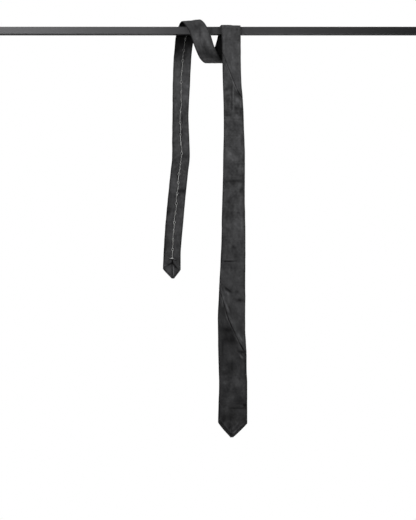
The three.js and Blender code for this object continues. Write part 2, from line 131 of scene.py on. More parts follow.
def lay_route(corners):
    """The route as straight runs and arcs, the length at which each arc ends, and its whole length."""
    pieces = []
    length_after = {}
    length = 0.0
    here = np.array([corners[0]["y"], corners[0]["z"]])
    for row, beyond in zip(corners[1:], corners[2:] + [None]):
        corner = np.array([row["y"], row["z"]])
        run = corner - here
        heading = run / np.linalg.norm(run)
        if beyond is None:
            size = float(np.linalg.norm(run))
            pieces.append(dict(start=length, size=size, at=here, heading=heading))
            length += size
            break
        leaving = np.array([beyond["y"], beyond["z"]]) - corner
        leaving = leaving / np.linalg.norm(leaving)
        cross = heading[0] * leaving[1] - heading[1] * leaving[0]
        turn = math.atan2(cross, float(heading @ leaving))
        cut_back = row["bend"] * math.tan(abs(turn) / 2)
        arc_start = corner - heading * cut_back
        straight = float(np.linalg.norm(arc_start - here))
        pieces.append(dict(start=length, size=straight, at=here, heading=heading))
        length += straight
        side = math.copysign(1, turn)
        centre = arc_start + np.array([-heading[1], heading[0]]) * side * row["bend"]
        angle = math.atan2(arc_start[1] - centre[1], arc_start[0] - centre[0])
        size = row["bend"] * abs(turn)
        pieces.append(dict(
            start=length, size=size, centre=centre, radius=row["bend"], side=side, angle=angle,
        ))
        length += size
        length_after[row["at"]] = length
        here = corner + leaving * cut_back
    return pieces, length_after, length


route_pieces, length_after, ROUTE_LENGTH = lay_route(ROUTE)


def route_at(s):
    """Side-view place of the middle surface and its outward direction, for an array of lengths."""
    s = np.clip(np.asarray(s, float), 0, ROUTE_LENGTH)
    y, z, out_y, out_z = (np.zeros_like(s) for _ in range(4))
    for piece in route_pieces:
        inside = (s >= piece["start"]) & (s <= piece["start"] + piece["size"] + 1e-9)
        run = s[inside] - piece["start"]
        if "heading" in piece:
            y[inside] = piece["at"][0] + piece["heading"][0] * run
            z[inside] = piece["at"][1] + piece["heading"][1] * run
            out_y[inside] = piece["heading"][1]
            out_z[inside] = -piece["heading"][0]
        else:
            angle = piece["angle"] + piece["side"] * run / piece["radius"]
            y[inside] = piece["centre"][0] + piece["radius"] * np.cos(angle)
            z[inside] = piece["centre"][1] + piece["radius"] * np.sin(angle)
            out_y[inside] = piece["side"] * np.cos(angle)
            out_z[inside] = piece["side"] * np.sin(angle)
    return y, z, out_y, out_z


TURNS = dict(
    arch_top=length_after["arch_back"],
    loop_bottom=length_after["loop_front"],
    rail_top=(length_after["rail_back"] + length_after["rail_front"]
              - RAIL_BEND * math.pi / 2) / 2,
)
RUNS = dict(
    tail=(0.0, TURNS["arch_top"]),
    front=(TURNS["arch_top"], TURNS["loop_bottom"]),
    back=(TURNS["loop_bottom"], TURNS["rail_top"]),
    blade=(TURNS["rail_top"], ROUTE_LENGTH),
)


def length_at(run, level):
    """Length along the route at which one run passes a level, for an array of levels."""
    level = np.asarray(level, float)
    low = np.full_like(level, RUNS[run][0])
    high = np.full_like(level, RUNS[run][1])
    rising = run in ("tail", "back")
    halvings = 40
    for _ in range(halvings):
        middle = (low + high) / 2
        before = (route_at(middle)[1] < level) == rising
        low = np.where(before, middle, low)
        high = np.where(before, high, middle)
    return (low + high) / 2


def smooth_table(keys, values, at):
    """A smooth curve through a table, flat beyond its two ends."""
    keys = np.asarray(keys, float)
    values = np.asarray(values, float)
    slopes = np.empty_like(values)
    slopes[1:-1] = (values[2:] - values[:-2]) / (keys[2:] - keys[:-2])
    slopes[0] = (values[1] - values[0]) / (keys[1] - keys[0])
    slopes[-1] = (values[-1] - values[-2]) / (keys[-1] - keys[-2])
    i = np.clip(np.searchsorted(keys, at, side="right") - 1, 0, len(keys) - 2)
    span = keys[i + 1] - keys[i]
    t = np.clip((at - keys[i]) / span, 0, 1)
    u = 1 - t
    return (values[i] * u * u * (1 + 2 * t) + values[i + 1] * t * t * (3 - 2 * t)
            + (slopes[i] * t * u * u - slopes[i + 1] * t * t * u) * span)


outline = []
for part in OUTLINE:
    if "turn" in part:
        outline.append((TURNS[part["turn"]], part["left"], part["right"]))
    for level, left, right in part.get("rows", []):
        outline.append((float(length_at(part["run"], level)), left, right))
outline_lengths, outline_left, outline_right = zip(*outline)


def ease(value, low, high):
    """0 below low, 1 above high, smooth between."""
    t = np.clip((value - low) / (high - low), 0, 1)
    return t * t * (3 - 2 * t)


def drawn_in(edge, level, shoulder, end, side):
    """An edge below its shoulder: slanted towards the point, then rounded to the blunt end."""
    def slanted(at):
        share = np.maximum(shoulder - at, 0) / (shoulder - end["point"])
        return edge + (end["x"] - edge) * share ** SHOULDER_BOW

    start = slanted(end["rounded"])
    t = np.clip((end["rounded"] - level) / (end["rounded"] - end["cut"]), 0, 1)
    rounded = start + (end["x"] + side * end["blunt"] - start) * (1 - np.sqrt(1 - BLUNT_BOW * t * t))
    below = np.where(level >= end["rounded"], slanted(level), rounded)
    return np.where(level >= shoulder, edge, below)


def by_end(s, key):
    return np.where(s < TURNS["arch_top"], TAIL_END[key], BLADE_END[key])


def edges_at(s):
    level = route_at(s)[1]
    left = smooth_table(outline_lengths, outline_left, s)
    right = smooth_table(outline_lengths, outline_right, s)
    end = {key: by_end(s, key) for key in TAIL_END}
    return (drawn_in(left, level, end["left_shoulder"], end, -1),
            drawn_in(right, level, end["right_shoulder"], end, 1))


def half_thickness(s):
    """Half thickness at the centre and at the folded edges: stiff near the tips, thin at them."""
    to_end = np.minimum(s, ROUTE_LENGTH - s)
    stiff = 1 - ease(to_end, STIFF_NEAR, STIFF_FAR)
    point = 1 - ease(to_end, 0, POINT_RUN)
    edge = EDGE + (TIP_THICK - EDGE) * stiff
    middle = np.maximum(MIDDLE, edge)
    middle = (middle + (POINT_THICK - middle) * point) / 2
    edge = (edge + (POINT_THICK - edge) * point) / 2
    return middle, edge


def place(s, x, out):
    """A point x to the side and out from the middle surface, in millimetres."""
    y, z, out_y, out_z = route_at(s)
    left, right = edges_at(s)
    lift = ARCH_LIFT * (1 - ease(np.abs(s - TURNS["arch_top"]), 0, ARCH_LIFT_REACH))
    tilt = (x - (left + right) / 2) / (right - left)
    tilt = np.where(tilt < 0, tilt * ARCH_LIFT_LEFT, tilt)
    return np.stack([x, y + out_y * out, z + out_z * out + lift * tilt], axis=-1)


RIPPLE_WAVES = 14
RIPPLE_SPREAD = (0.65, 1.6)


def ripple(u, v, wave, seed):
    """Even unevenness between about -1 and 1, from waves of many headings near one length."""
    draw = np.random.default_rng(seed)
    total = np.zeros(np.broadcast(u, v).shape)
    for _ in range(RIPPLE_WAVES):
        heading = draw.uniform(0, math.pi)
        turns = math.tau / (wave * draw.uniform(*RIPPLE_SPREAD))
        phase = draw.uniform(0, math.tau)
        total += np.sin((u * math.cos(heading) + v * math.sin(heading)) * turns + phase)
    return total / math.sqrt(RIPPLE_WAVES)


def hump(value, middle, reach):
    """1 at the middle, and falling smoothly to nothing at about twice the reach from it."""
    return np.exp(-((value - middle) / reach) ** 2)


def pressed(x, z, marks):
    """Sum of long soft ridges (rise above 0) and creases (below 0), each turned by degrees."""
    total = np.zeros(np.broadcast(x, z).shape)
    for mark_x, mark_z, long, wide, turn, rise in marks:
        cosine, sine = math.cos(math.radians(turn)), math.sin(math.radians(turn))
        along = (x - mark_x) * cosine + (z - mark_z) * sine
        across = (z - mark_z) * cosine - (x - mark_x) * sine
        total += rise * np.exp(-(along / long) ** 4 - (across / wide) ** 2)
    return total


# Marks in the leather, each a row of x, z, half length, half width, turn in degrees and rise.
# Creases and swellings on the tail's back, most of them round its bend and its bar tack.
TAIL_MARKS = [
    (-43, -66, 10, 5, 85, 0.4), (-45, -111, 6, 2, -40, -0.4), (-44, -126, 7, 4, 80, 0.5),
    (-60, -98, 9, 4, 80, 0.25), (-48.6, -172, 17, 1.3, 89, -0.7), (-44.5, -170, 14, 2.2, 88, 0.3),
    (-57, -44, 7, 1.6, 35, 0.4), (-57, -36, 6, 1.6, 40, 0.4), (-56, -52, 6, 1.6, 30, 0.35),
    (-56, -244, 5, 1.5, 50, -0.5), (-58, -252, 6, 1.5, -50, -0.5), (-55, -260, 5, 1.4, -45, -0.5),
    (-60, -240, 6, 1.8, 55, 0.35), (-59, -262, 5, 1.8, 40, -0.4), (-45, -239, 6, 1.6, -35, -0.5),
    (-47, -262, 6, 1.8, -50, -0.5), (-44, -252, 6, 2.0, -40, 0.35), (-45, -228, 6, 2.2, 62, -0.3),
    (-40, -234, 4, 3, 80, 0.35), (-57.4, -276, 5, 1.2, 80, -0.7), (-66, -290, 18, 4, 76, 0.35),
    (-49, -304, 9, 3.2, 6, -0.6), (-50, -326, 10, 2.0, 50, 0.4), (-47, -334, 9, 2.0, 55, 0.35),
    (-53, -336, 7, 1.6, -40, -0.3), (-72, -341, 9, 3.0, 62, -0.45), (-55, -372, 12, 4, 78, 0.3),
    (-71, -434.2, 3.4, 1.0, 4, -0.6), (-62.4, -431.4, 2.2, 1.0, 0, -0.5),
    (-62.2, -436.0, 2.2, 1.0, -4, -0.6), (-62.8, -433.8, 2.4, 0.9, 0, 0.3),
    (-75, -436, 4, 1.6, 20, 0.4), (-62, -438.4, 3, 1.0, 0, 0.3), (-83, -446, 2.4, 2.0, 60, 0.5),
    (-80, -443, 2.4, 1.6, 30, -0.4), (-67.9, -427, 3.6, 2.2, 90, -0.4),
]

# Creases and swellings on the strand that slants down to the loop.
STRAND_MARKS = [
    (-15.6, -6, 8, 1.8, 88, -0.8), (-7.5, -31, 13, 1.8, -70, -0.8), (-27, -9, 9, 5, -72, 0.8),
    (-9, -10, 8, 4.5, -75, 0.7), (-2.5, -26, 12, 2.2, -72, 0.5), (-16, -30, 14, 3, -66, 0.3),
    (-19, 13, 8, 2.0, -30, -0.4), (-34, 11, 9, 3.5, -60, 0.5), (-9, 8, 6, 1.6, -60, -0.4),
    (-12, 2, 6, 2.0, -40, -0.4), (10, -51.6, 15, 1.2, -1, -0.7), (10, -55.4, 16, 1.6, -1, 0.4),
    (-9, -50, 4, 1.6, -40, 0.4), (-6, -56, 4, 1.6, -30, 0.5),
]

# Creases and swellings on the blade's front, with those beside its lower seam and its point.
BLADE_MARKS = [
    (46, -62, 18, 2.2, 88, 0.4), (28.5, -16, 14, 1.6, 88, 0.3), (38, -20, 8, 2.5, 80, -0.3),
    (46.2, -122, 24, 1.5, 89.5, 0.6), (37, -104, 8, 2.2, 25, 0.35), (37, -112, 8, 2.0, 25, -0.3),
    (37, -119, 8, 2.2, 25, 0.35), (37, -127, 8, 2.0, 25, -0.3), (57, -121.5, 6, 2.4, -18, -0.5),
    (56, -133, 5, 3.6, 0, 0.7), (61.5, -137, 8, 1.5, 86, 0.5), (54, -149, 4, 2.6, 0, -0.5),
    (62.5, -150, 9, 2.0, 88, -0.6), (55, -166, 7, 5, 0, 0.6), (39, -162, 6, 2.6, 12, -0.5),
    (53, -208, 8, 5, 30, 0.5), (45, -207, 8, 2.0, 89, -0.3), (61, -194, 6, 3, 85, 0.35),
    (38, -234, 6, 4, 10, 0.5), (57, -241, 6, 3.4, 25, 0.7), (58, -251, 7, 3, 30, -0.4),
    (54, -267, 9, 2.8, 35, 0.5), (48, -286.4, 14, 2.4, 2, -0.9), (47, -291, 5, 2.2, 0, -0.6),
    (47, -304, 19, 3.0, 43, 0.8), (36, -316, 6, 5, 30, 0.3), (62, -302, 4, 2.4, 40, -0.6),
    (57, -346, 3, 2.2, 0, -0.5), (57, -357, 9, 4, 75, 0.4), (52, -371, 9, 3, -38, 0.6),
    (62.5, -366, 9, 2, 88, 0.5), (37, -400, 8, 2.2, -30, -0.5), (47, -410, 7, 2.6, -45, -0.5),
    (37, -430.4, 9, 0.9, 0, 0.25), (37, -432.2, 9, 0.9, 0, -0.2), (38, -434.3, 9.5, 1.1, 0, 0.8),
    (39, -437.6, 11, 1.0, 0.5, -1.5), (56, -438.5, 8, 1.2, -3, -0.35), (43.5, -450, 7, 1.8, 90, -0.4),
    (37.3, -491.6, 7.4, 2.0, -38, -1.3), (34.6, -497.2, 5.5, 2.0, -38, 0.9), (54, -495, 3, 2.4, 0, -0.4),
    (57, -511.5, 9, 2.0, -2, -0.8), (59, -511, 3, 1.8, 0, -0.6), (63, -518, 5, 1.8, 0, 0.4),
    (44, -521, 5, 1.5, 22, 0.4), (35, -524, 12, 1.7, -66, 0.6), (33.5, -541, 9, 1.6, -70, 0.4),
    (61, -583, 8, 1.6, -62, 0.5), (55, -540, 12, 5, 70, -0.3),
    (47, -577, 4, 1.6, -60, 0.5), (36, -566, 14, 3, -12, -0.3),
    (63, -600, 9, 1.0, -62, -0.9), (63, -608.4, 7, 1.8, -4, -0.9), (69.6, -611, 3, 1.3, -45, -0.8),
    (68, -597, 1.8, 1.4, 0, 0.6), (66.4, -604, 1.6, 1.2, 0, 0.5), (63.5, -612.5, 3, 1.3, -38, 0.8),
    (62.4, -619, 4, 1.5, -62, 0.9), (65.5, -617, 4, 1.1, -62, -0.8), (67, -621, 6, 1.1, -64, 0.7),
    (69, -626, 6, 1.1, -70, -0.6), (69.8, -641, 9, 1.6, 88, -0.5), (56, -670, 11, 7, 72, 0.6),
    (37, -667, 8, 3, 5, 0.3), (55, -690, 8, 3.5, 15, 0.3), (66.5, -710.5, 5, 2.0, 8, -1.1),
    (57, -712.5, 6, 1.4, 0, -0.7), (30, -735, 9, 3.5, 62, -0.4), (33, -750.5, 17, 1.1, -49.5, 0.35),
    (31.4, -751.8, 17, 1.0, -49.5, -0.35), (59, -755, 17, 1.1, 43, 0.4),
    (60.4, -756.4, 17, 1.0, 43, -0.35), (56, -748, 5, 1.4, 40, 0.35), (51, -752, 4, 1.4, 55, 0.3),
    (44, -756, 7, 1.1, 90, -0.4),
]

# Where the leather is darker (below 0) or lighter (above 0): partly its own uneven dye, partly
# painted shade in creases, slits and hollows and painted highlights on the lit side of ridges.
BLADE_DYE_AND_PAINTED_LIGHT = [
    (45, -535, 12, 9, 0, -0.25), (29, -512, 9, 3, 88, 0.4), (60, -562, 14, 5, 88, -0.25),
    (69, -478, 22, 2.4, 90, -0.35), (68, -351, 12, 2.2, 90, -0.4),
    (36, -298, 10, 8, 0, 0.2), (63, -285, 24, 4, 89, -0.16), (44, -243, 12, 8, 0, 0.28),
    (68, -247, 10, 2.4, 88, -0.35), (45, -220, 14, 16, 90, 0.12), (60, -216, 16, 4, 88, 0.45),
    (63, -192, 12, 4.5, 88, 0.15), (35, -168, 9, 5, 0, 0.25), (66, -166, 9, 2, 88, -0.35),
    (30.5, -115, 26, 1.8, 89, 0.3), (61.5, -88, 18, 2.2, 88, 0.4), (33, -58, 9, 3.5, 88, -0.2),
    (60, -58, 16, 3, 88, 0.12), (43, 0, 18, 7, 0, -0.14), (32, -697, 14, 6, 88, -0.12),
    (42, -640, 14, 12, 90, -0.2), (62, -378, 8, 4, 88, 0.15), (25, -458, 8, 2, 88, 0.15),
    (54, -112, 3, 3, 0, 0.3), (44.5, -146, 9, 1.8, 88, -0.2),
    (38, -102, 7, 1.6, 22, -0.2), (69, -590, 10, 2.4, 88, 0.25), (32, -670, 8, 4, 88, 0.15),
    (71, -668, 12, 2.4, 90, -0.15), (58, -750, 8, 4, 43, -0.15),
    (45, -50, 60, 24, 90, 0.12), (50, -372, 30, 20, 90, 0.08), (45, -745, 30, 26, 0, -0.1),
    (47, -62, 18, 3.5, 88, 0.2), (38, -20, 9, 4, 80, -0.14), (30, -28, 12, 1.4, 88, 0.3),
    (48.3, -126, 27, 1.4, 90, 0.35), (44.8, -122, 26, 1.9, 90, -0.35), (37, -103, 7, 3, 25, 0.2),
    (36, -111, 7, 2.2, 25, -0.3), (37, -119, 8, 3, 25, 0.25), (36, -131, 7, 2.4, -15, -0.3),
    (57, -121.5, 8, 4.2, -10, -0.42), (55.5, -134.5, 6.5, 4.2, 88, 0.5),
    (61.5, -141, 6, 1.8, 88, 0.6), (54, -149.5, 4.4, 3.6, 0, -0.5), (53, -157, 4.4, 2.2, 0, -0.25),
    (62, -154, 9, 2.6, 88, -0.35), (54.5, -167, 7, 6, 88, 0.36), (38.5, -161, 7, 3.4, 10, -0.42),
    (37, -156.5, 9, 1.6, 0, -0.15), (35, -190, 6, 6, 0, 0.12), (57, -184, 6, 4, 0, 0.12),
    (60, -197, 5, 4, 85, 0.2), (46, -205, 3.4, 3, 0, -0.28), (64, -208, 12, 1.8, 88, -0.25),
    (54, -210, 5.5, 5, 20, 0.2), (38, -235, 6, 6, 0, 0.2), (57, -242, 5.5, 4.4, 25, 0.28),
    (59, -253, 5, 3.4, 30, -0.3), (62, -263, 5, 3.4, 20, 0.22),
    (48, -286.3, 14, 3.2, 2, -0.5), (47, -291, 4.4, 2.8, 0, -0.4), (38, -291, 14, 8, 0, -0.18),
    (50, -303, 15, 3.4, 41, 0.22), (35, -316, 5, 6, 0, 0.16), (62.5, -302, 3.4, 4, 0, -0.4),
    (66.3, -290, 18, 1.7, 90, -0.4), (37, -340, 20, 9, 88, -0.28), (57, -346.5, 3.4, 2.6, 0, -0.55),
    (57, -360, 22, 8, 86, 0.24), (64, -372, 10, 1.6, 88, 0.25), (52, -371, 8, 4, -35, 0.14),
    (29, -398, 12, 2.4, 80, -0.35), (37, -401.5, 7, 2.4, -28, -0.32), (48, -411, 4.4, 3.4, -35, -0.38),
    (46, -418, 5, 1.6, 90, -0.25), (55, -426, 8, 4, 0, -0.28), (57, -402, 10, 7, 88, 0.12),
    (39, -437.5, 11.5, 1.4, 0, -0.7), (38, -434, 9.5, 1.2, 0, 0.3), (43.5, -450, 6, 2, 90, -0.35),
    (63, -436, 10, 3.6, 90, 0.18), (37.3, -492, 7.4, 2.2, -38, -0.9), (34.4, -497.6, 5, 2.0, -38, 0.55),
    (54, -495, 3.4, 3, 0, -0.28), (58, -512, 12, 3.4, 0, -0.3),
    (59, -511, 3.8, 2.6, 0, -0.45), (35, -524, 11, 1.9, -66, 0.55), (42, -528, 6, 1.5, -72, -0.35),
    (42.5, -545, 9, 1.5, -64, 0.18), (34, -541, 9, 1.5, -70, 0.3), (60.5, -582, 7, 2.2, -62, 0.4),
    (62, -526, 10, 6, 90, 0.1), (33, -566, 12, 6, 0, -0.4), (38, -584, 14, 13, 0, -0.45),
    (34, -585, 4, 3.4, 0, -0.3), (42, -588, 4, 3, 0, -0.25), (40, -568.5, 8, 2.4, -10, -0.3),
    (50, -588, 8, 3.6, -50, -0.3), (27.5, -603, 17, 1.7, 88, -0.4), (35, -598, 6, 4, 0, 0.2),
    (61.5, -608, 7, 1.6, -8, -0.6), (64, -610, 2.6, 2, 0, -0.6), (68.5, -611, 5, 1.2, -60, -0.6),
    (63, -599, 9, 1.2, -62, -0.4), (62.4, -617, 5, 2, -62, 0.5), (69.6, -636, 16, 1.8, 88, -0.35),
    (45.5, -636, 13, 2, 90, -0.28), (35, -648, 9, 3, 0, -0.25),
    (42, -657, 4.4, 2.2, 0, -0.35), (60, -649, 8, 7, 0, 0.12), (57, -668, 8, 11, 80, 0.35),
    (33, -667, 5, 3.4, 0, 0.2), (58, -691, 13, 5, 5, 0.16), (58, -701, 13, 2, 0, -0.2),
    (57, -706, 14, 7, 0, -0.22), (69.5, -709.4, 2.8, 3, 10, -0.9), (58, -714.8, 14, 1.8, 0, -0.6),
    (28, -738, 8, 4, 72, -0.5), (37, -733, 14, 7, 10, -0.2), (33, -753, 18, 2.0, -49.5, -0.35),
    (36.4, -751.5, 14, 1.0, -49.5, 0.3), (58.5, -757, 18, 2.0, 43, -0.3),
    (56.5, -753.6, 14, 1.0, 43, 0.35), (56, -747.6, 6, 1.0, 43, -0.3), (54, -747, 6, 1.2, 60, 0.4),
    (48, -752, 4, 1.4, 70, 0.4), (51, -760, 4, 1.4, 40, 0.3), (41, -752, 4, 2.6, 60, -0.35),
    (44, -764, 4, 3, 0, -0.5), (68, -738, 3, 5, 20, -0.25),
]
# On the tail, the same: its own uneven dye with painted shade, most of all the painted shadow of the
# rail across the tail's top, and painted shadows in the slit, beside the thread and in the V.
TAIL_DYE_AND_PAINTED_LIGHT = [
    (-36, -40, 14, 6, 88, 0.6), (-60, -38, 12, 5, 88, -0.35), (-35, -66, 12, 4, 88, 0.42),
    (-51, -106, 28, 20, 90, 0.28), (-38, -107, 26, 5, 88, 0.22), (-66.5, -180, 50, 2.6, 90, -0.28),
    (-77.5, -345, 130, 3.4, 85.3, -0.22), (-75, -336, 12, 5, 85, -0.2),
    (-79, -400, 22, 8, 85, -0.18), (-35.5, -212, 24, 2.4, 90, 0.32), (-83, -441, 8, 4, 88, 0.5),
    (-58, -66, 8, 5, 0, -0.18), (-42, -252, 12, 5, 85, -0.12), (-75, -414, 16, 12, 85, -0.22),
    (-56, -262, 26, 20, 80, -0.12),
    (-48, -16, 40, 33, 0, -0.9), (-59, -38, 10, 16, 90, -0.35), (-57, -40, 8, 1.8, 38, 0.35),
    (-43, -67, 10, 4.5, 85, 0.22), (-41, -84, 6, 4, 0, -0.15), (-43, -101, 9, 5, 85, 0.15),
    (-59, -98, 8, 6, 85, 0.15), (-44, -126, 6, 4.5, 80, 0.3), (-46, -116, 4, 2, -40, -0.25),
    (-43, -167, 22, 5, 88, -0.2), (-49.3, -166, 9, 1.3, 89, -0.9), (-49.3, -190, 6, 1.3, 89, -0.8),
    (-42, -207, 13, 4, 88, 0.2), (-57, -203, 8, 4, 88, 0.12), (-45, -232, 9, 7, 88, -0.2),
    (-62, -255, 14, 4, 80, -0.25), (-56, -256, 3, 1.6, 60, -0.4), (-46, -262, 8, 3, 80, -0.25),
    (-57.4, -276, 5, 1.4, 84, -1.2), (-66, -288, 16, 5, 78, 0.2), (-49, -303.5, 9, 3.8, 4, -0.75),
    (-54, -311, 2.5, 2, 80, -0.6), (-49, -328, 7, 1.5, 50, 0.3), (-52, -338, 6, 1.5, 50, 0.25),
    (-74, -341, 8, 4.5, 62, -0.45), (-56, -370, 10, 5, 80, 0.2), (-60, -389, 4, 1.5, 80, -0.3),
    (-81.5, -412, 16, 2.2, 86, -0.2), (-67.9, -436.6, 3.8, 1.2, 90, -2.2),
    (-63.6, -444.8, 6.5, 1.7, -51.6, -1.1), (-72.5, -442.2, 5.0, 1.3, 30, -1.2),
    (-67.9, -428, 3, 2.0, 90, -0.6), (-71, -434.3, 3.6, 1.0, 4, -0.8),
    (-62.2, -436, 2.2, 1.2, -4, -0.8), (-62.4, -431.4, 2.2, 1.0, 0, -0.5),
    (-83, -446, 2.4, 2, 60, 0.5), (-80, -442.6, 2.4, 1.4, 30, -0.5), (-80, -448, 2, 1.4, 30, -0.4),
]
# On the slanting strand: painted light and shade, lighter swells and painted shadow on its lower end
# beside the blade.
STRAND_PAINTED_LIGHT = [
    (-16, -12, 18, 17, -65, 0.25), (8, -48, 30, 10, -14, -0.6), (24, -44, 16, 8, -70, -0.6),
    (-22.5, -11, 8, 4.6, -70, 0.4), (-26, 15, 14, 5, 0, -0.12), (-21, 5, 6, 5, 0, -0.2),
    (-7, -10, 7, 4.0, -75, 0.36), (-1.5, -22, 9, 3.0, -72, 0.32), (-15.2, -4, 9, 1.9, 88, -0.7),
    (-12, -27, 10, 1.8, -72, -0.35), (-5.5, -38, 9, 2.0, -66, -0.35), (-20, 4, 6, 5, 0, -0.22),
    (-19, 12, 12, 2.4, -30, -0.15), (-36, 10, 9, 3, -60, 0.12), (-14, -33, 8, 2.0, -66, 0.15),
    (6, -28, 6, 1.2, -75, -0.2), (10, -52, 14, 1.4, -1, -0.3), (-7, -54, 5, 3, -40, 0.2),
]
# Painted shade by panel: the blade's panels darker towards its point, where the light falls off.
PANEL_PAINTED_SHADE = dict(tail_and_neck=1.0, blade_middle=0.92, blade_end=0.65)


# Levels at which the tail's thread goes through the leather, each with its loop's half width.
TAIL_STITCHES = [
    (-415.2, 1.9), (-396.7, 1.3), (-379.6, 0.9), (-363.3, 1.8), (-345.2, 1.3), (-327.1, 2.0),
    (-308.0, 1.4), (-287.1, 1.8), (-270.9, 1.9), (-251.8, 1.2), (-231.8, 1.9), (-212.7, 0.7),
    (-196.5, 1.2), (-173.3, 1.7), (-150.8, 0.8), (-129.8, 0.8), (-114.5, 1.0), (-95.5, 2.2),
    (-75.4, 1.0), (-55.4, 2.1), (-35.4, 1.9), (-14.4, 1.2),
]


# The hang's unevenness: rise and wave length, the seed of its draw, and how much the waves are
# packed across the tie and drawn out along it.
HANG_WAVES = [
    dict(rise=0.26, wave=34, seed=3, across=1, along=1),
    dict(rise=0.07, wave=10, seed=5, across=1, along=1),
    dict(rise=0.16, wave=26, seed=8, across=2.2, along=0.35),
]
# The dye's mottling. The finer two are livelier on the upper part of the tie.
DYE_WAVES = [
    dict(depth=0.09, wave=26, seed=31, livelier=False),
    dict(depth=0.09, wave=10, seed=32, livelier=True),
    dict(depth=0.08, wave=5, seed=33, livelier=True),
]
BLADE_TONE_STRENGTH = 1.3
CREASES_OFF_TURN = 15
TONES_OFF_TURN = -5
TONES_PAST_LOOP = 4
# Painted shade along the tail's seam, at its stitch holes, and inside the arch and the loop.
SEAM_SHADE = 0.3
SEAM_SHADE_REACH = 1.5
HOLE_SHADE = 0.6
HOLE_REACH = 1.7
INSIDE_LOOP_SHADE = 1.65
# The painted shade inside the loop sets in before the arch's top, first at all and then in full,
# and ends past the rail's top.
SHADE_SETS_IN = 60
SHADE_IN_FULL = 15
SHADE_ENDS = 12
LIVELY = dict(least=0.8, more=0.6, from_level=-520, to_level=-260)


def relief(s, x, level, front):
    """How far the leather stands proud of its plain form: the hang's unevenness and the marks."""
    uneven = sum(
        row["rise"] * ripple(x * row["across"], s * row["along"], row["wave"], row["seed"])
        for row in HANG_WAVES
    )
    if front:
        on_blade = s > TURNS["rail_top"] + CREASES_OFF_TURN
        on_strand = (s > TURNS["arch_top"]) & (s < TURNS["loop_bottom"])
        uneven = uneven + np.where(on_strand, pressed(x, level, STRAND_MARKS), 0)
        return uneven + np.where(on_blade, pressed(x, level, BLADE_MARKS), 0)
    on_tail = s < TURNS["arch_top"] - CREASES_OFF_TURN
    return uneven + np.where(on_tail, pressed(x, level, TAIL_MARKS), 0)


def dye_and_painted_light(s, x, front):
    """How light the leather's colour is at a place, about 1: its uneven colouring with painted light and
    shade, darkest, as painted shade, inside the arch and the loop.
    """
    level = route_at(s)[1]
    lively = ease(level, LIVELY["from_level"], LIVELY["to_level"])
    lively = LIVELY["least"] + LIVELY["more"] * lively
    depth = sum(
        row["depth"] * (lively if row["livelier"] else 1) * ripple(x, s, row["wave"], row["seed"])
        for row in DYE_WAVES
    )
    if front:
        on_blade = s > TURNS["rail_top"] + TONES_OFF_TURN
        on_strand = (s > TURNS["arch_top"]) & (s < TURNS["loop_bottom"] + TONES_PAST_LOOP)
        blade = BLADE_TONE_STRENGTH * pressed(x, level, BLADE_DYE_AND_PAINTED_LIGHT)
        depth = depth + np.where(on_strand, pressed(x, level, STRAND_PAINTED_LIGHT), 0)
        return np.exp(depth + np.where(on_blade, blade, 0))
    on_tail = s < TURNS["arch_top"] - CREASES_OFF_TURN
    depth = depth + np.where(on_tail, pressed(x, level, TAIL_DYE_AND_PAINTED_LIGHT), 0)
    on_seam = hump(x, seam_middle(s), SEAM_SHADE_REACH)
    depth = depth - SEAM_SHADE * on_seam * on_tail
    for hole, wide in TAIL_STITCHES:
        depth = depth - HOLE_SHADE * wide * hump(level, hole, HOLE_REACH) * on_seam * on_tail
    in_loop = ease(s, TURNS["arch_top"] - SHADE_SETS_IN, TURNS["arch_top"] - SHADE_IN_FULL)
    in_loop = in_loop * (1 - ease(s, TURNS["rail_top"], TURNS["rail_top"] + SHADE_ENDS))
    return np.exp(depth - INSIDE_LOOP_SHADE * in_loop)


TURN_TOUCHES = 14
TURN_IS_FREE = 24
BESIDE_BELOW = (-20, -10)
BESIDE_ABOVE = (8, 12)


def near_rail(s):
    """1 where the tie touches the rail, 0 well away from it."""
    level = route_at(s)[1]
    over = 1 - ease(np.abs(s - TURNS["rail_top"]), TURN_TOUCHES, TURN_IS_FREE)
    beside = ease(level, *BESIDE_BELOW) * (1 - ease(level, *BESIDE_ABOVE))
    return np.maximum(over, beside)


def leather_columns(flap, fold, front):
    """The sheet's columns, from the left flap's inner edge round the front to the right one's."""
    parts = [("flap", -1, t) for t in np.linspace(0, 1, flap)]
    parts += [("fold", -1, t) for t in np.linspace(0, 1, fold + 2)[1:-1]]
    parts += [("front", 0, t) for t in np.linspace(-1, 1, front)]
    parts += [("fold", 1, t) for t in np.linspace(1, 0, fold + 2)[1:-1]]
    parts += [("flap", 1, t) for t in np.linspace(1, 0, flap)]
    return parts


# Places where the slit up the tail gapes beside the thread, as level and reach, and places where
# it wanders to the right, as level, reach and distance.
SLIT_GAPES = [(-190, 14), (-272, 10)]
SLIT_ASIDE = [(-6, 17, 2.2), (-421, 12, 0.9)]
GAPE_WIDTH = 0.9
WIDER_BELOW_TACK = 1.3
TACK_RUN = 7
WANDER = dict(far=0.7, wave=60, seed=21)


def slit_half(s):
    """Half the slit at the back: nearly shut, and open beside the thread in a few places."""
    level = route_at(s)[1]
    gaping = sum(hump(level, *place_of_gape) for place_of_gape in SLIT_GAPES)
    on_tail = np.where(s < TURNS["arch_top"], 1.0, 0.0)
    below_tack = ease(by_end(s, "v_top") - level, -TACK_RUN, 0)
    return (SLIT + GAPE_WIDTH * gaping * on_tail + WIDER_BELOW_TACK * below_tack) / 2


def slit_wander(s):
    """How far the slit lies to the right of the centre."""
    level = route_at(s)[1]
    aside = sum(far * hump(level, middle, reach) for middle, reach, far in SLIT_ASIDE)
    wander = WANDER["far"] * ripple(s, 0 * s, WANDER["wave"], WANDER["seed"])
    return wander * (1 - near_rail(s)) + aside * (s < TURNS["arch_top"])


def seam_middle(s):
    left, right = edges_at(s)
    return (left + right) / 2 + slit_wander(s)


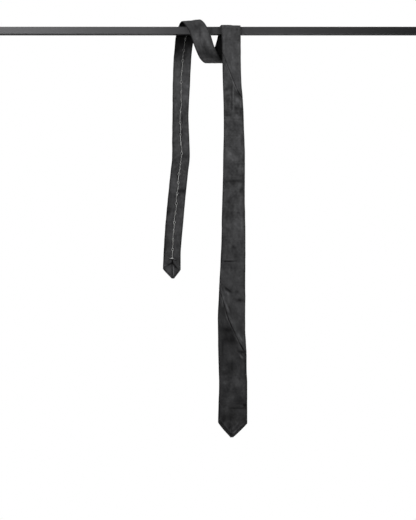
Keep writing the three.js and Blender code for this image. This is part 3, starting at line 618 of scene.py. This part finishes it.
def flap_start(s, side):
    """Distance from the centre at which a back flap starts, and how far down the V it is."""
    left, right = edges_at(s)
    half = (right - left) / 2
    level = route_at(s)[1]
    stop = by_end(s, "v_left" if side < 0 else "v_right")
    top = by_end(s, "v_top")
    down = np.clip((top - level) / (top - stop), 0, 1)
    slit = slit_half(s)
    start = slit + (np.maximum(slit, half - TURN_IN) - slit) * down
    start = start + side * slit_wander(s) * (1 - down)
    return start, down


LIP = dict(drop=0.22, wide=1.6)
V_EDGE = dict(proud=0.35, wide=1.8)
FOLD_FREEDOM = 0.4


def swelled(edge, middle, across):
    """Half thickness between the centre (across 0) and the start of a fold (across 1)."""
    return edge + (middle - edge) * (1 - across ** 4)


def freedom(across):
    """How freely the leather moves: fully at the centre, less beside a fold."""
    return FOLD_FREEDOM + (1 - FOLD_FREEDOM) * (1 - across ** 6)


def back_face(s, x):
    """How far the tie's back face lies out from the middle surface at a place."""
    left, right = edges_at(s)
    level = route_at(s)[1]
    side = np.where(x < (left + right) / 2, -1, 1)
    middle, edge = half_thickness(s)
    flat = (right - left) / 2 - edge
    reach = np.abs(x - (left + right) / 2)
    start_left, down_left = flap_start(s, -1)
    start_right, down_right = flap_start(s, 1)
    start = np.where(side < 0, start_left, start_right)
    down = np.where(side < 0, down_left, down_right)
    across = np.clip(reach / np.maximum(flat, 0.1), 0, 1)
    lip = LIP["drop"] * hump(reach, start, LIP["wide"]) * (1 - down)
    calm = (1 - near_rail(s)) * freedom(across) * (1 - down)
    proud = V_EDGE["proud"] * hump(reach, start, V_EDGE["wide"]) * ease(down, 0, 0.15)
    out = swelled(edge, middle, across) + relief(s, x, level, False) * calm
    return out - lip + proud * (1 - ease(down, 0.8, 1))


# Where the tie turns over the rail its left side stands proud and its right side is drawn in.
TURN = dict(reach=16, drawn_in=0.45, middle=0.1, sharpness=6, pressed=0.15)
TIGHTEST_FOLD = 0.08
NARROWEST_FLAP = 0.05
# How closely the folded share, which dulls the sheen and paints shade on the folds, keeps to them.
FOLD_DULL_AND_SHADE_POWER = 24


def leather_points(columns, lengths, seam_dip):
    """Outer and inner points of the sheet for a grid of lengths, a column to a part."""
    outer = np.zeros(lengths.shape + (3,))
    inner = np.zeros(lengths.shape + (3,))
    folded = np.zeros(lengths.shape)
    tone = np.zeros(lengths.shape)
    for i, (part, side, t) in enumerate(columns):
        s = lengths[:, i]
        left, right = edges_at(s)
        level = route_at(s)[1]
        centre = (left + right) / 2
        middle, edge = half_thickness(s)
        flat = (right - left) / 2 - edge
        dip = seam_dip[:, i]
        if part == "fold":
            angle = math.pi * t
            x = centre + side * (flat + edge * math.sin(angle))
            quiet = FOLD_FREEDOM * (1 - near_rail(s))
            rise = relief(s, x, level, t > 0.5) * quiet - dip * 0.5
            for points, radius in ((outer, edge + rise), (inner, edge + rise - WALL)):
                radius = np.maximum(radius, TIGHTEST_FOLD)
                points[:, i] = place(
                    s, centre + side * (flat + radius * math.sin(angle)),
                    -radius * math.cos(angle),
                )
            folded[:, i] = 1
            tone[:, i] = dye_and_painted_light(s, x, t > 0.5)
        elif part == "front":
            x = centre + t * flat
            calm = (1 - near_rail(s)) * freedom(t)
            turning = np.exp(-((s - TURNS["rail_top"]) / TURN["reach"]) ** 4)
            lean = TURN["drawn_in"] * np.tanh((t - TURN["middle"]) * TURN["sharpness"])
            out = swelled(edge, middle, t) - lean * turning - TURN["pressed"] * turning
            out = out + relief(s, x, level, True) * calm - dip
            outer[:, i] = place(s, x, out)
            inner[:, i] = place(s, x, out - WALL)
            folded[:, i] = abs(t) ** FOLD_DULL_AND_SHADE_POWER
            tone[:, i] = dye_and_painted_light(s, x, True)
        else:
            start, _ = flap_start(s, side)
            start = np.minimum(start, flat - NARROWEST_FLAP)
            x = centre + side * (start + (flat - start) * t)
            out = back_face(s, x) - dip
            outer[:, i] = place(s, x, -out)
            inner[:, i] = place(s, x, WALL - out)
            folded[:, i] = t ** FOLD_DULL_AND_SHADE_POWER
            tone[:, i] = dye_and_painted_light(s, x, False)
    return outer, inner, folded, tone


def wall_faces(index):
    """Faces of a closed sheet on a grid of points: outer wall, inner wall and its four edges."""
    under = index + index.size
    sides = [
        (index[:-1, :-1], index[1:, :-1], index[1:, 1:], index[:-1, 1:]),
        (under[:-1, :-1], under[:-1, 1:], under[1:, 1:], under[1:, :-1]),
        (index[:-1, 0], under[:-1, 0], under[1:, 0], index[1:, 0]),
        (index[:-1, -1], index[1:, -1], under[1:, -1], under[:-1, -1]),
        (index[0, :-1], index[0, 1:], under[0, 1:], under[0, :-1]),
        (index[-1, :-1], under[-1, :-1], under[-1, 1:], index[-1, 1:]),
    ]
    return np.concatenate([np.stack([grid.ravel() for grid in side], axis=1) for side in sides])


def set_down(mesh, sharp, material):
    """A piece of this mesh and material, smooth but for edges sharper than so many degrees."""
    piece = bpy.data.objects.new(mesh.name, mesh)
    bpy.context.collection.objects.link(piece)
    bpy.ops.object.select_all(action="DESELECT")
    piece.select_set(True)
    bpy.context.view_layer.objects.active = piece
    bpy.ops.object.shade_smooth_by_angle(angle=math.radians(sharp))
    piece.select_set(False)
    mesh.materials.append(material)
    return piece


SHEET_SHARP = 50


def closed_sheet(name, outer, inner, faces, pattern, folded, tone):
    """A closed sheet of leather, with its flat pattern as UV map and two attributes."""
    points = np.concatenate([outer.reshape(-1, 3), inner.reshape(-1, 3)]) * MM
    mesh = bpy.data.meshes.new(name)
    mesh.from_pydata(points.tolist(), [], faces.tolist())
    pattern = np.stack([grid.ravel() for grid in pattern], axis=1) * MM
    uv = mesh.uv_layers.new(name="pattern")
    corner = np.zeros(len(mesh.loops), int)
    mesh.loops.foreach_get("vertex_index", corner)
    uv.data.foreach_set("uv", np.tile(pattern, (2, 1))[corner].ravel())
    for word, values in (("folded", folded), ("tone", tone)):
        attribute = mesh.attributes.new(word, "FLOAT", "POINT")
        attribute.data.foreach_set("value", np.tile(values.ravel(), 2))
    mesh.update()
    return set_down(mesh, SHEET_SHARP, black_leather)


# The blade's seam grooves darker with their depth: partly dye gathered in them, partly painted shade.
SEAM_DYE_AND_SHADE = 0.7
DEEP_DIP = 0.4


def leather_panel(name, columns, lengths, seams):
    """One panel of the tie, from a grid of lengths with a column to each part of the fold."""
    seam_dip = seam_dips(lengths, seams)
    outer, inner, folded, tone = leather_points(columns, lengths, seam_dip)
    girth = np.linalg.norm(np.diff(outer, axis=1), axis=2)
    across = np.concatenate([np.zeros((len(lengths), 1)), np.cumsum(girth, axis=1)], axis=1)
    across = across - across[:, -1:] / 2
    tone = tone * PANEL_PAINTED_SHADE[name] * (1 - SEAM_DYE_AND_SHADE * np.clip(seam_dip / DEEP_DIP, 0, 1) ** 2)
    faces = wall_faces(np.arange(lengths.size).reshape(lengths.shape))
    return closed_sheet(name, outer, inner, faces, (across, lengths), folded, tone)


# The two seams that join the panels slant down the blade, from the left edge to the right.
UPPER_SEAM = dict(
    plain_above=-10.0, plain_below=-190.0, flap_run=20.0,
    across=[-1, -0.72, -0.22, -0.05, 0.29, 0.59, 1],
    level=[-44.5, -57.5, -78.5, -87.3, -102.5, -116.5, -129],
    groove=0.45, wide=0.9, above=0.1, below=0.1,
)
LOWER_SEAM = dict(
    plain_above=-440.0, plain_below=-690.0, flap_run=24.0,
    across=[-1, -0.6, -0.27, 0.14, 0.59, 1], level=[-491, -519, -545, -568, -592, -612],
    groove=0.5, wide=1.1, above=0.25, below=0.12,
)
SEAM_GAP = 0.02
STEEPEST = 0.3
LEAST_STEP = 0.15
LEAST_RUN_SQUARED = 0.02
SEAM_SWELL = dict(away=2.4, wide=1.5)
SEAM_UNEVEN = dict(share=0.35, wave=14, seed=51)


def seam_levels(seam, columns):
    levels = []
    for part, side, t in columns:
        if part == "front":
            levels.append(float(smooth_table(seam["across"], seam["level"], t)))
            continue
        edge = seam["level"][0] if side < 0 else seam["level"][-1]
        share = 1 - t if part == "flap" else 0
        levels.append(edge - side * seam["flap_run"] * share)
    return np.array(levels)


def seam_lengths(seam, columns):
    """Lengths at which the seam crosses each column, and the cosine of its slant there."""
    lengths = length_at("blade", seam_levels(seam, columns))
    points = leather_points(columns, lengths[None, :], np.zeros((1, len(columns))))[0]
    step = np.linalg.norm(points[0, 2:] - points[0, :-2], axis=1)
    rise = np.abs(lengths[2:] - lengths[:-2])
    cosine = np.ones(len(columns))
    run = np.sqrt(np.maximum(step ** 2 - rise ** 2, LEAST_RUN_SQUARED))
    cosine[1:-1] = run / np.maximum(step, LEAST_STEP)
    cosine = np.clip(cosine, STEEPEST, 1)
    cosine[0], cosine[-1] = cosine[1], cosine[-2]
    return lengths, cosine


def level_row(level, columns):
    """A straight row across the blade at one level."""
    return np.full(len(columns), float(length_at("blade", level)))


def rows_between(start, stop, step):
    """Rows of lengths from one row to another, no further apart than a step."""
    count = int(math.ceil(np.max(np.abs(stop - start)) / step))
    share = np.linspace(0, 1, count + 1)[:, None]
    return start[None, :] * (1 - share) + stop[None, :] * share


def seam_dips(lengths, seams):
    """The leather is turned down into each seam and swells beside it, more above than below."""
    dip = np.zeros_like(lengths)
    swell_at, swell_wide = SEAM_SWELL["away"], SEAM_SWELL["wide"]
    for seam, (place_of_seam, cosine) in seams:
        away = (lengths - place_of_seam[None, :]) * cosine[None, :]
        grid = place_of_seam[None, :] + lengths * 0
        waves = ripple(grid, lengths, SEAM_UNEVEN["wave"], SEAM_UNEVEN["seed"])
        uneven = 1 + SEAM_UNEVEN["share"] * waves
        dip = dip + seam["groove"] * uneven * hump(away, 0, seam["wide"])
        dip = dip - seam["above"] * uneven * hump(away, -swell_at, swell_wide)
        dip = dip - seam["below"] * uneven * hump(away, swell_at, swell_wide)
    return dip


def new_material(name):
    """A new material, and its shader."""
    material = bpy.data.materials.new(name)
    material.use_nodes = True
    return material, material.node_tree.nodes["Principled BSDF"]


def feed(node, inputs):
    """Set a node's inputs, each to a value or to another node's output that is joined to it."""
    for name, value in inputs.items():
        if isinstance(value, bpy.types.NodeSocket):
            node.id_data.links.new(value, node.inputs[name])
        else:
            node.inputs[name].default_value = value


def add_node(beside, kind, inputs):
    """A new shader node among those that another one belongs to."""
    node = beside.id_data.nodes.new("ShaderNode" + kind)
    feed(node, inputs)
    return node


def noise(shader, place_at, scale, detail, roughness=0.5):
    inputs = {"Vector": place_at, "Scale": scale, "Detail": detail, "Roughness": roughness}
    return add_node(shader, "TexNoise", inputs).outputs["Fac"]


def between(shader, share, low, high):
    """A value that goes from low to high as a share goes from 0 to 1."""
    inputs = {"Value": share, "To Min": low, "To Max": high}
    return add_node(shader, "MapRange", inputs).outputs["Result"]


def multiplied(shader, kind, first, second):
    node = add_node(shader, kind, {})
    node.operation = "MULTIPLY"
    feed(node, {0: first, 1: second})
    return node.outputs[0]


def attribute_of(shader, word):
    node = add_node(shader, "Attribute", {})
    node.attribute_name = word
    return node.outputs["Fac"]


def raised(shader, height, strength, distance, upon=None):
    """The surface raised by a height, upon an earlier raised surface if there is one."""
    inputs = {"Height": height, "Strength": strength, "Distance": distance}
    if upon is not None:
        inputs["Normal"] = upon
    return add_node(shader, "Bump", inputs).outputs["Normal"]


def toned(shader, share, tones):
    """A colour read from a ramp, whose stops are rows of a place from 0 to 1 and a colour."""
    ramp = add_node(shader, "ValToRGB", {"Fac": share})
    stops = ramp.color_ramp.elements
    while len(stops) < len(tones):
        stops.new(0.5)
    for stop, (place_at, colour) in zip(stops, tones):
        stop.position = place_at
        stop.color = (*colour, 1)
    return ramp.outputs["Color"]


def leather_black():
    """Smooth black leather: fine grain, faint mottling, a little duller where it is folded, and painted
    shade darkening the folded edges.
    """
    material, shader = new_material("black_leather")
    uv = add_node(shader, "UVMap", {})
    uv.uv_map = "pattern"
    pattern = uv.outputs["UV"]
    folded = attribute_of(shader, "folded")
    depth = attribute_of(shader, "tone")
    mottle = noise(shader, pattern, 46, 5, 0.6)
    # Painted shade: the folded edges mixed towards near black.
    folds_painted_shade = add_node(shader, "Mix", {})
    folds_painted_shade.data_type = "RGBA"
    feed(folds_painted_shade, {
        "Factor": multiplied(shader, "Math", folded, 0.55),
        "A": toned(shader, mottle, [
            (0.30, (0.022, 0.022, 0.0235)), (0.72, (0.052, 0.052, 0.054)),
        ]),
        "B": (0.003, 0.003, 0.0032, 1),
    })
    sheen = between(shader, depth, 0, 0.42)
    worn = between(shader, folded, 1.0, 0.45)
    pores = add_node(shader, "TexVoronoi", {"Vector": pattern, "Scale": 900, "Randomness": 1})
    fine = raised(shader, pores.outputs["Distance"], 0.35, 0.00025)
    feed(shader, {
        "Base Color": multiplied(shader, "VectorMath", folds_painted_shade.outputs["Result"], depth),
        "Specular IOR Level": multiplied(shader, "Math", sheen, worn),
        "Roughness": between(shader, mottle, 0.50, 0.66),
        "Normal": raised(shader, noise(shader, pattern, 420, 6, 0.62), 0.5, 0.0006, fine),
    })
    return material


black_leather = leather_black()

NECK_COLUMNS = leather_columns(flap=13, fold=6, front=31)
NECK_STEP = 1.35

upper_place, upper_cosine = seam_lengths(UPPER_SEAM, NECK_COLUMNS)
neck_start = np.zeros(len(NECK_COLUMNS))
neck_stop = level_row(UPPER_SEAM["plain_above"], NECK_COLUMNS)
neck_plain = rows_between(neck_start, neck_stop, NECK_STEP)
neck_slant = rows_between(neck_stop, upper_place - SEAM_GAP / 2 / upper_cosine, NECK_STEP)
neck_lengths = np.concatenate([neck_plain, neck_slant[1:]])
tail_and_neck = leather_panel(
    "tail_and_neck", NECK_COLUMNS, neck_lengths, [(UPPER_SEAM, (upper_place, upper_cosine))],
)
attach(tail_and_neck, "root")
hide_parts("tail_and_neck_panel")

# ---- Blade's middle panel --------------------------------------------------------------------
# The middle of the blade, a sheet of the same leather folded and sewn like the tail. It is
# joined to the neck by the upper slanted seam and to the blade's end by the lower one.

BLADE_COLUMNS = leather_columns(flap=15, fold=6, front=39)
BLADE_STEP = 1.35

upper_place, upper_cosine = seam_lengths(UPPER_SEAM, BLADE_COLUMNS)
lower_place, lower_cosine = seam_lengths(LOWER_SEAM, BLADE_COLUMNS)
straight_from = level_row(UPPER_SEAM["plain_below"], BLADE_COLUMNS)
straight_to = level_row(LOWER_SEAM["plain_above"], BLADE_COLUMNS)
middle_lengths = np.concatenate([
    rows_between(upper_place + SEAM_GAP / 2 / upper_cosine, straight_from, BLADE_STEP),
    rows_between(straight_from, straight_to, BLADE_STEP)[1:],
    rows_between(straight_to, lower_place - SEAM_GAP / 2 / lower_cosine, BLADE_STEP)[1:],
])
blade_middle = leather_panel("blade_middle", BLADE_COLUMNS, middle_lengths, [
    (UPPER_SEAM, (upper_place, upper_cosine)), (LOWER_SEAM, (lower_place, lower_cosine)),
])
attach(blade_middle, "root")
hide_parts("blade_middle_panel")

# ---- Blade's end panel -----------------------------------------------------------------------
# The lowest panel of the blade, down to its point. Its leather is painted darker, as shade where
# the light falls off down the blade, and the point is cut at about a right angle, with its edges
# turned in to the back.

END_STEP = 1.1
POINT_STEP = 0.8

lower_end = np.full(len(BLADE_COLUMNS), ROUTE_LENGTH)
plain_from = level_row(LOWER_SEAM["plain_below"], BLADE_COLUMNS)
end_lengths = np.concatenate([
    rows_between(lower_place + SEAM_GAP / 2 / lower_cosine, plain_from, END_STEP),
    rows_between(plain_from, lower_end, POINT_STEP)[1:],
])
blade_end = leather_panel(
    "blade_end", BLADE_COLUMNS, end_lengths, [(LOWER_SEAM, (lower_place, lower_cosine))],
)
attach(blade_end, "root")
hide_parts("blade_end_panel")

# ---- Tip facings -----------------------------------------------------------------------------
# At both tips the inside shows in an upturned V between the back flaps: two halves of thin dark
# leather, turned in and glued, which meet in a rolled joint down to the point.

# In the tail's tip, painted light and shade: painted shadows under the flaps' edges and at the joint,
# and a painted highlight on the joint's roll.
FACING_PAINTED_LIGHT = [
    (-63.4, -445.4, 7.0, 2.0, -51.6, -1.1), (-72.5, -442.6, 5.2, 1.6, 30, -1.3),
    (-67.9, -436.6, 5, 1.6, 90, -2.2), (-68.4, -454, 12, 1.1, 90, -0.8),
    (-66, -453, 10, 1.0, 90, 0.7), (-66, -458, 3, 1.2, 90, 0.4), (-75, -452, 7, 6, 60, 0.25),
]
FACING = dict(
    rows=70, columns=36, above=16.0, stop=1.6, inset=1.6, wider_below=0.41, joint=0.3,
    sunk=0.3, front=0.45, held=0.5, free=0.8,
)
VALLEY = dict(deep=0.45, reach=7)
ROLL = dict(high=0.75, off=1.3, wide=0.8)


def facing_half(name, node, run, end, side):
    """One half of a tip's facing, between the folded edge and the joint at the centre."""
    levels = np.linspace(
        end["v_top"] + FACING["above"], end["cut"] + FACING["stop"], FACING["rows"],
    )
    s = length_at(run, levels)
    left, right = edges_at(s)
    centre = (left + right) / 2
    above = length_at(run, end["v_top"])
    from_x = float((edges_at(above)[0] + edges_at(above)[1]) / 2)
    share = np.clip((end["v_top"] - levels) / (end["v_top"] - end["point"]), 0, 1)
    joint = np.where(share > 0, from_x + (end["x"] - from_x) * share, centre)
    wider = FACING["wider_below"] * ease(end["left_shoulder"] - levels, -1, 1)
    inset = FACING["inset"] * (1 + wider)
    outside = (left + inset) if side < 0 else (right - inset)
    inside = joint + side * FACING["joint"] / 2
    across = np.linspace(0, 1, FACING["columns"])[None, :]
    x = inside[:, None] + (outside - inside)[:, None] * across
    grid_s = np.repeat(s[:, None], FACING["columns"], axis=1)
    start, _ = flap_start(s, side)
    clear = ease(start[:, None] - np.abs(x - centre[:, None]), 0.2, 2.0)
    to_joint = np.abs(x - joint[:, None])
    valley = VALLEY["deep"] * (1 - hump(to_joint, 0, VALLEY["reach"]))
    roll = ROLL["high"] * hump(to_joint, ROLL["off"], ROLL["wide"]) if side > 0 else 0
    proud = FACING["sunk"] + (valley + roll + 0.1 * ripple(x, grid_s, 7, 41)) * clear
    proud = np.minimum(proud, FACING["held"] + FACING["free"] * clear)
    backs = place(grid_s, x, -proud)
    fronts = place(grid_s, x, FACING["front"])
    index = np.arange(x.size).reshape(x.shape)
    if (side > 0) == (run == "tail"):
        index = index[:, ::-1]
    faces = wall_faces(index)[:, [0, 3, 2, 1]]
    shade = np.exp(pressed(x, np.repeat(levels[:, None], FACING["columns"], axis=1), FACING_PAINTED_LIGHT))
    # Painted light: the right half a tenth lighter than the left.
    shade = shade * (1.0 if side < 0 else 1.1)
    half = closed_sheet(name, backs, fronts, faces, (x, grid_s), 0 * shade, shade)
    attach(half, "root")
    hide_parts(node)


for tip, end in (("tail", TAIL_END), ("blade", BLADE_END)):
    facing_half(tip + "_turned_in_left", tip + "_facing_left", tip, end, -1)
    facing_half(tip + "_turned_in_right", tip + "_facing_right", tip, end, 1)

# ---- Seam thread -----------------------------------------------------------------------------
# The slit up the back is closed by hand with one strand of light grey thread: long straight
# stitches on the back, with a small open loop every 20 mm where it goes through the leather.

THREAD_RADIUS = 0.32
THREAD_PULLED = 0.25
PULLED_ABOVE = -195
LOOP_THINNER = 0.85
STITCH = 19.9
STITCH_SPREAD = 0.9
ENDS_ABOVE_V = 9.4
LAST_STITCH = 6
LOOP_HALF = 2.2
STITCH_POINTS = 18
LOOP_POINTS = 25
LOOP_OPEN = 0.2
THREAD_SHARP = 60
# None is drawn inside the loop, from the top of the arch to the turn over the rail.
BARE_TURN = 32
STITCHES_STOP = TURNS["arch_top"] - 16
STITCHES_START = TURNS["rail_top"] + 10
LOOPS_STOP = TURNS["arch_top"] - 8
LOOPS_START = TURNS["rail_top"] + 20


TUBE_SIDES = 8


def thread_piece(name, paths, radii):
    """One piece of closed round threads along lists of points."""
    points = []
    faces = []
    for path, radius in zip(paths, radii):
        path = np.asarray(path, float)
        tangent = np.gradient(path, axis=0)
        tangent /= np.linalg.norm(tangent, axis=1)[:, None]
        side = np.cross(tangent, np.array([0.0, 1.0, 0.0]))
        weak = np.linalg.norm(side, axis=1) < 0.2
        side[weak] = np.cross(tangent[weak], np.array([1.0, 0.0, 0.0]))
        side /= np.linalg.norm(side, axis=1)[:, None]
        other = np.cross(side, tangent)
        turn = np.linspace(0, math.tau, TUBE_SIDES, endpoint=False)
        ring = (side[:, None, :] * np.cos(turn)[None, :, None]
                + other[:, None, :] * np.sin(turn)[None, :, None]) * radius
        index = len(points) + np.arange(len(path) * TUBE_SIDES).reshape(len(path), TUBE_SIDES)
        points.extend((path[:, None, :] + ring).reshape(-1, 3).tolist())
        after = np.roll(index, -1, axis=1)
        faces.extend(np.stack([
            index[:-1].ravel(), index[1:].ravel(), after[1:].ravel(), after[:-1].ravel(),
        ], axis=1).tolist())
        faces.append(index[0].tolist())
        faces.append(index[-1][::-1].tolist())
    mesh = bpy.data.meshes.new(name)
    mesh.from_pydata(points, [], faces)
    return set_down(mesh, THREAD_SHARP, grey_thread)


def on_back(s, x, proud):
    """Points on the tie's back face, a little proud of it."""
    return place(s, x, -(back_face(s, x) + proud)) * MM


def thread_radius(s):
    """The thread is pulled thinner where it was drawn tight, high up."""
    return (THREAD_PULLED if route_at(s)[1] > PULLED_ABOVE else THREAD_RADIUS) * MM


def thread_grey():
    """Spun grey thread, unevenly light."""
    material, shader = new_material("grey_thread")
    place_at = add_node(shader, "TexCoord", {}).outputs["Object"]
    twist = noise(shader, place_at, 280, 6)
    feed(shader, {
        "Base Color": toned(shader, twist, [(0.3, (0.28, 0.28, 0.275)), (0.7, (0.68, 0.68, 0.67))]),
        "Roughness": 0.75,
        "Specular IOR Level": 0.25,
        "Normal": raised(shader, twist, 0.6, 0.00015),
    })
    return material


grey_thread = thread_grey()

stitch_draw = np.random.default_rng(12)
thread_paths = []
thread_radii = []
thread_from = float(length_at("tail", TAIL_END["v_top"] + ENDS_ABOVE_V))
thread_to = float(length_at("blade", BLADE_END["v_top"] + ENDS_ABOVE_V))
loop_lengths = [thread_from] + length_at("tail", np.array(TAIL_STITCHES)[:, 0]).tolist()
while loop_lengths[-1] + STITCH < thread_to - LAST_STITCH:
    loop_lengths.append(loop_lengths[-1] + STITCH + stitch_draw.uniform(-STITCH_SPREAD, STITCH_SPREAD))
loop_lengths.append(thread_to)
loop_lengths = [
    length for length in loop_lengths
    if abs(length - TURNS["rail_top"]) > BARE_TURN or length in (thread_from, thread_to)
]
for k, (begin, finish) in enumerate(zip(loop_lengths[:-1], loop_lengths[1:])):
    if finish > STITCHES_STOP and begin < STITCHES_START:
        continue
    s = np.linspace(begin + (LOOP_HALF if k else 0), finish - LOOP_HALF, STITCH_POINTS)
    t = (s - s[0]) / (s[-1] - s[0])
    lean = stitch_draw.uniform(0.2, 0.7) * (1 if k % 2 else -1)
    slack = 0.25 * np.sin(math.tau * t * stitch_draw.uniform(1.2, 2.4) + k)
    x = seam_middle(s) + (lean + slack) * np.sin(math.pi * t)
    thread_paths.append(on_back(s, x, 0.2))
    thread_radii.append(thread_radius(finish))
for k, length in enumerate(loop_lengths[1:-1]):
    if LOOPS_STOP < length < LOOPS_START:
        continue
    around = np.linspace(LOOP_OPEN, math.tau - LOOP_OPEN, LOOP_POINTS)
    wide = TAIL_STITCHES[k][1] if k < len(TAIL_STITCHES) else stitch_draw.uniform(0.8, 2.0)
    long = stitch_draw.uniform(2.6, 3.4)
    skew = stitch_draw.uniform(-0.6, 0.6)
    s = length + long * np.cos(around)
    sway = wide * np.sin(around) * (1 - 0.35 * np.abs(np.cos(around)))
    x = seam_middle(np.full_like(s, length)) + sway + skew * np.cos(around)
    thread_paths.append(on_back(s, x, 0.25 + 0.2 * np.cos(around / 2) ** 2))
    thread_radii.append(LOOP_THINNER * thread_radius(length))

seam_thread = thread_piece("seam_thread", thread_paths, thread_radii)
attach(seam_thread, "root")

# ---- Bar tacks -------------------------------------------------------------------------------
# Where the slit ends above each V, a bar of the same thread holds the two flaps together:
# eight strands laid side by side across the slit, which draw together to the left.

TACK_ABOVE_V = 8.2
TACK_RADIUS = 0.24
TACK_STEP = 0.22
TACK_RIGHT = 1.9
TACK_POINTS = 14
# How far each strand reaches to the left, from the lowest to the highest.
TACK_REACH = (4.0, 4.8, 6.0, 6.8, 6.4, 5.2, 4.4, 3.6)

tack_draw = np.random.default_rng(7)
for tip, end in (("tail", TAIL_END), ("blade", BLADE_END)):
    length = float(length_at(tip, end["v_top"] + TACK_ABOVE_V))
    middle = float(seam_middle(np.array([length]))[0])
    upward = 1 if tip == "tail" else -1
    tack_paths = []
    for strand, reach_left in enumerate(TACK_REACH):
        lift = (strand - (len(TACK_REACH) - 1) / 2) * TACK_STEP
        t = np.linspace(0, 1, TACK_POINTS)
        x = middle + TACK_RIGHT - t * reach_left + tack_draw.uniform(-0.6, 0.4)
        fan = lift * (1 + 0.35 * np.sin(math.pi * t)) * (1 - 0.45 * t)
        bow = 0.55 * np.sin(math.pi * t) - 0.25
        tack_paths.append(on_back(length + upward * fan, x, bow + tack_draw.uniform(0, 0.25)))
    bar_tack = thread_piece(tip + "_bar_tack", tack_paths, [TACK_RADIUS * MM] * len(TACK_REACH))
    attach(bar_tack, "root")

# ---- Rail ------------------------------------------------------------------------------------
# A plain square metal bar with a satin black coat, which carries the tie. It is drawn stock,
# cut square at both ends and sprayed.

RAIL_LENGTH = 840
COAT_BLACK = (0.10, 0.10, 0.103)
# Painted light and shade on the coat along the bar, from end to end: brighter across the middle,
# darkest towards the right end, and painted shadows beside the leather.
COAT_PAINTED_LIGHT = [
    (-420, 0.92), (-270, 1.0), (-200, 1.06), (-110, 1.24), (-60, 1.1), (-30, 0.9), (2, 0.8),
    (6, 0.6), (11, 0.95), (17, 0.95), (22, 0.7), (62, 0.7), (66, 1.22), (133, 1.3), (200, 1.16),
    (270, 0.92), (330, 0.65), (400, 0.42),
]


def coat_black():
    """Sprayed satin black over metal, with a faint orange peel, and painted light and shade along the
    bar.
    """
    material, shader = new_material("black_coated_bar")
    place_at = add_node(shader, "TexCoord", {}).outputs["Object"]
    split = add_node(shader, "SeparateXYZ", {"Vector": place_at})
    end = RAIL_LENGTH / 2
    along = add_node(shader, "MapRange", {
        "Value": split.outputs["X"], "From Min": -end * MM, "From Max": end * MM,
    })
    tones = [
        ((x + end) / RAIL_LENGTH, tuple(part * painted_gain for part in COAT_BLACK))
        for x, painted_gain in COAT_PAINTED_LIGHT
    ]
    spray = noise(shader, place_at, 900, 3)
    feed(shader, {
        "Base Color": toned(shader, along.outputs["Result"], tones),
        "Metallic": 0.85,
        "Roughness": between(shader, spray, 0.35, 0.43),
        "Normal": raised(shader, spray, 0.15, 0.0002),
    })
    return material


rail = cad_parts["rail"]
rail.data.materials.clear()
rail.data.materials.append(coat_black())

# ---- Floor, light and camera -----------------------------------------------------------------
# A pale floor well below the tie, two soft lights on the right, small ones at the top left and
# in front, and a long one behind. The camera sees white behind the tie, which lights it faintly.

FLOOR_LEVEL = -1.35
FLOOR_SIDE = 3.4
VIEW_DISTANCE = 2.2
VIEW_LEVEL = -0.43485
VIEW_WIDTH = 0.7904
SENSOR = 36

bpy.ops.object.select_all(action="DESELECT")
bpy.ops.mesh.primitive_plane_add(size=FLOOR_SIDE, location=(0, 0, FLOOR_LEVEL))
floor = bpy.context.active_object
floor.name = "floor"
floor_paint, floor_shader = new_material("pale_floor")
feed(floor_shader, {"Base Color": (0.9, 0.9, 0.9, 1), "Roughness": 0.9})
floor.data.materials.append(floor_paint)

world = bpy.data.worlds.new("studio")
bpy.context.scene.world = world
world.use_nodes = True
glow = world.node_tree.nodes["Background"]
feed(glow, {"Color": (1, 1, 1, 1), "Strength": 0.06})
sweep = add_node(glow, "Background", {"Color": (1, 1, 1, 1), "Strength": 1.0})
either = add_node(glow, "MixShader", {
    "Fac": add_node(glow, "LightPath", {}).outputs["Is Camera Ray"],
    1: glow.outputs["Background"],
    2: sweep.outputs["Background"],
})
feed(world.node_tree.nodes["World Output"], {"Surface": either.outputs["Shader"]})


def softbox(name, place_at, aim, size, power):
    lamp = bpy.data.lights.new(name, "AREA")
    lamp.shape = "RECTANGLE"
    lamp.size, lamp.size_y = size
    lamp.energy = power
    holder = bpy.data.objects.new(name, lamp)
    holder.location = place_at
    holder.rotation_euler = (Vector(aim) - Vector(place_at)).to_track_quat("-Z", "Y").to_euler()
    bpy.context.collection.objects.link(holder)


softbox("right_light", (2.0, -0.8, 0.2), aim=(0, 0, -0.3), size=(0.9, 0.9), power=33)
softbox("right_upper_light", (1.8, -0.6, 0.5), aim=(0, 0, -0.3), size=(0.9, 0.9), power=19)
softbox("top_left_light", (-1.0, -0.4, 0.9), aim=(0, 0, -0.3), size=(0.4, 0.4), power=17.7)
softbox("front_light", (-0.9, -2.2, 0.45), aim=(-0.2, 0, -0.1), size=(0.5, 0.5), power=8)
softbox("back_light", (0.3, 2.4, 0.75), aim=(0, 0, -0.4), size=(1.4, 0.6), power=35)

bpy.context.scene.view_settings.view_transform = "Standard"
camera_data = bpy.data.cameras.new("camera")
camera_data.sensor_fit = "HORIZONTAL"
camera_data.sensor_width = SENSOR
camera_data.lens = SENSOR * VIEW_DISTANCE / VIEW_WIDTH
camera_data.clip_end = 50
camera = bpy.data.objects.new("camera", camera_data)
camera.location = (0, -VIEW_DISTANCE, VIEW_LEVEL)
camera.rotation_euler = (math.radians(90), 0, 0)
bpy.context.collection.objects.link(camera)
bpy.context.scene.camera = camera
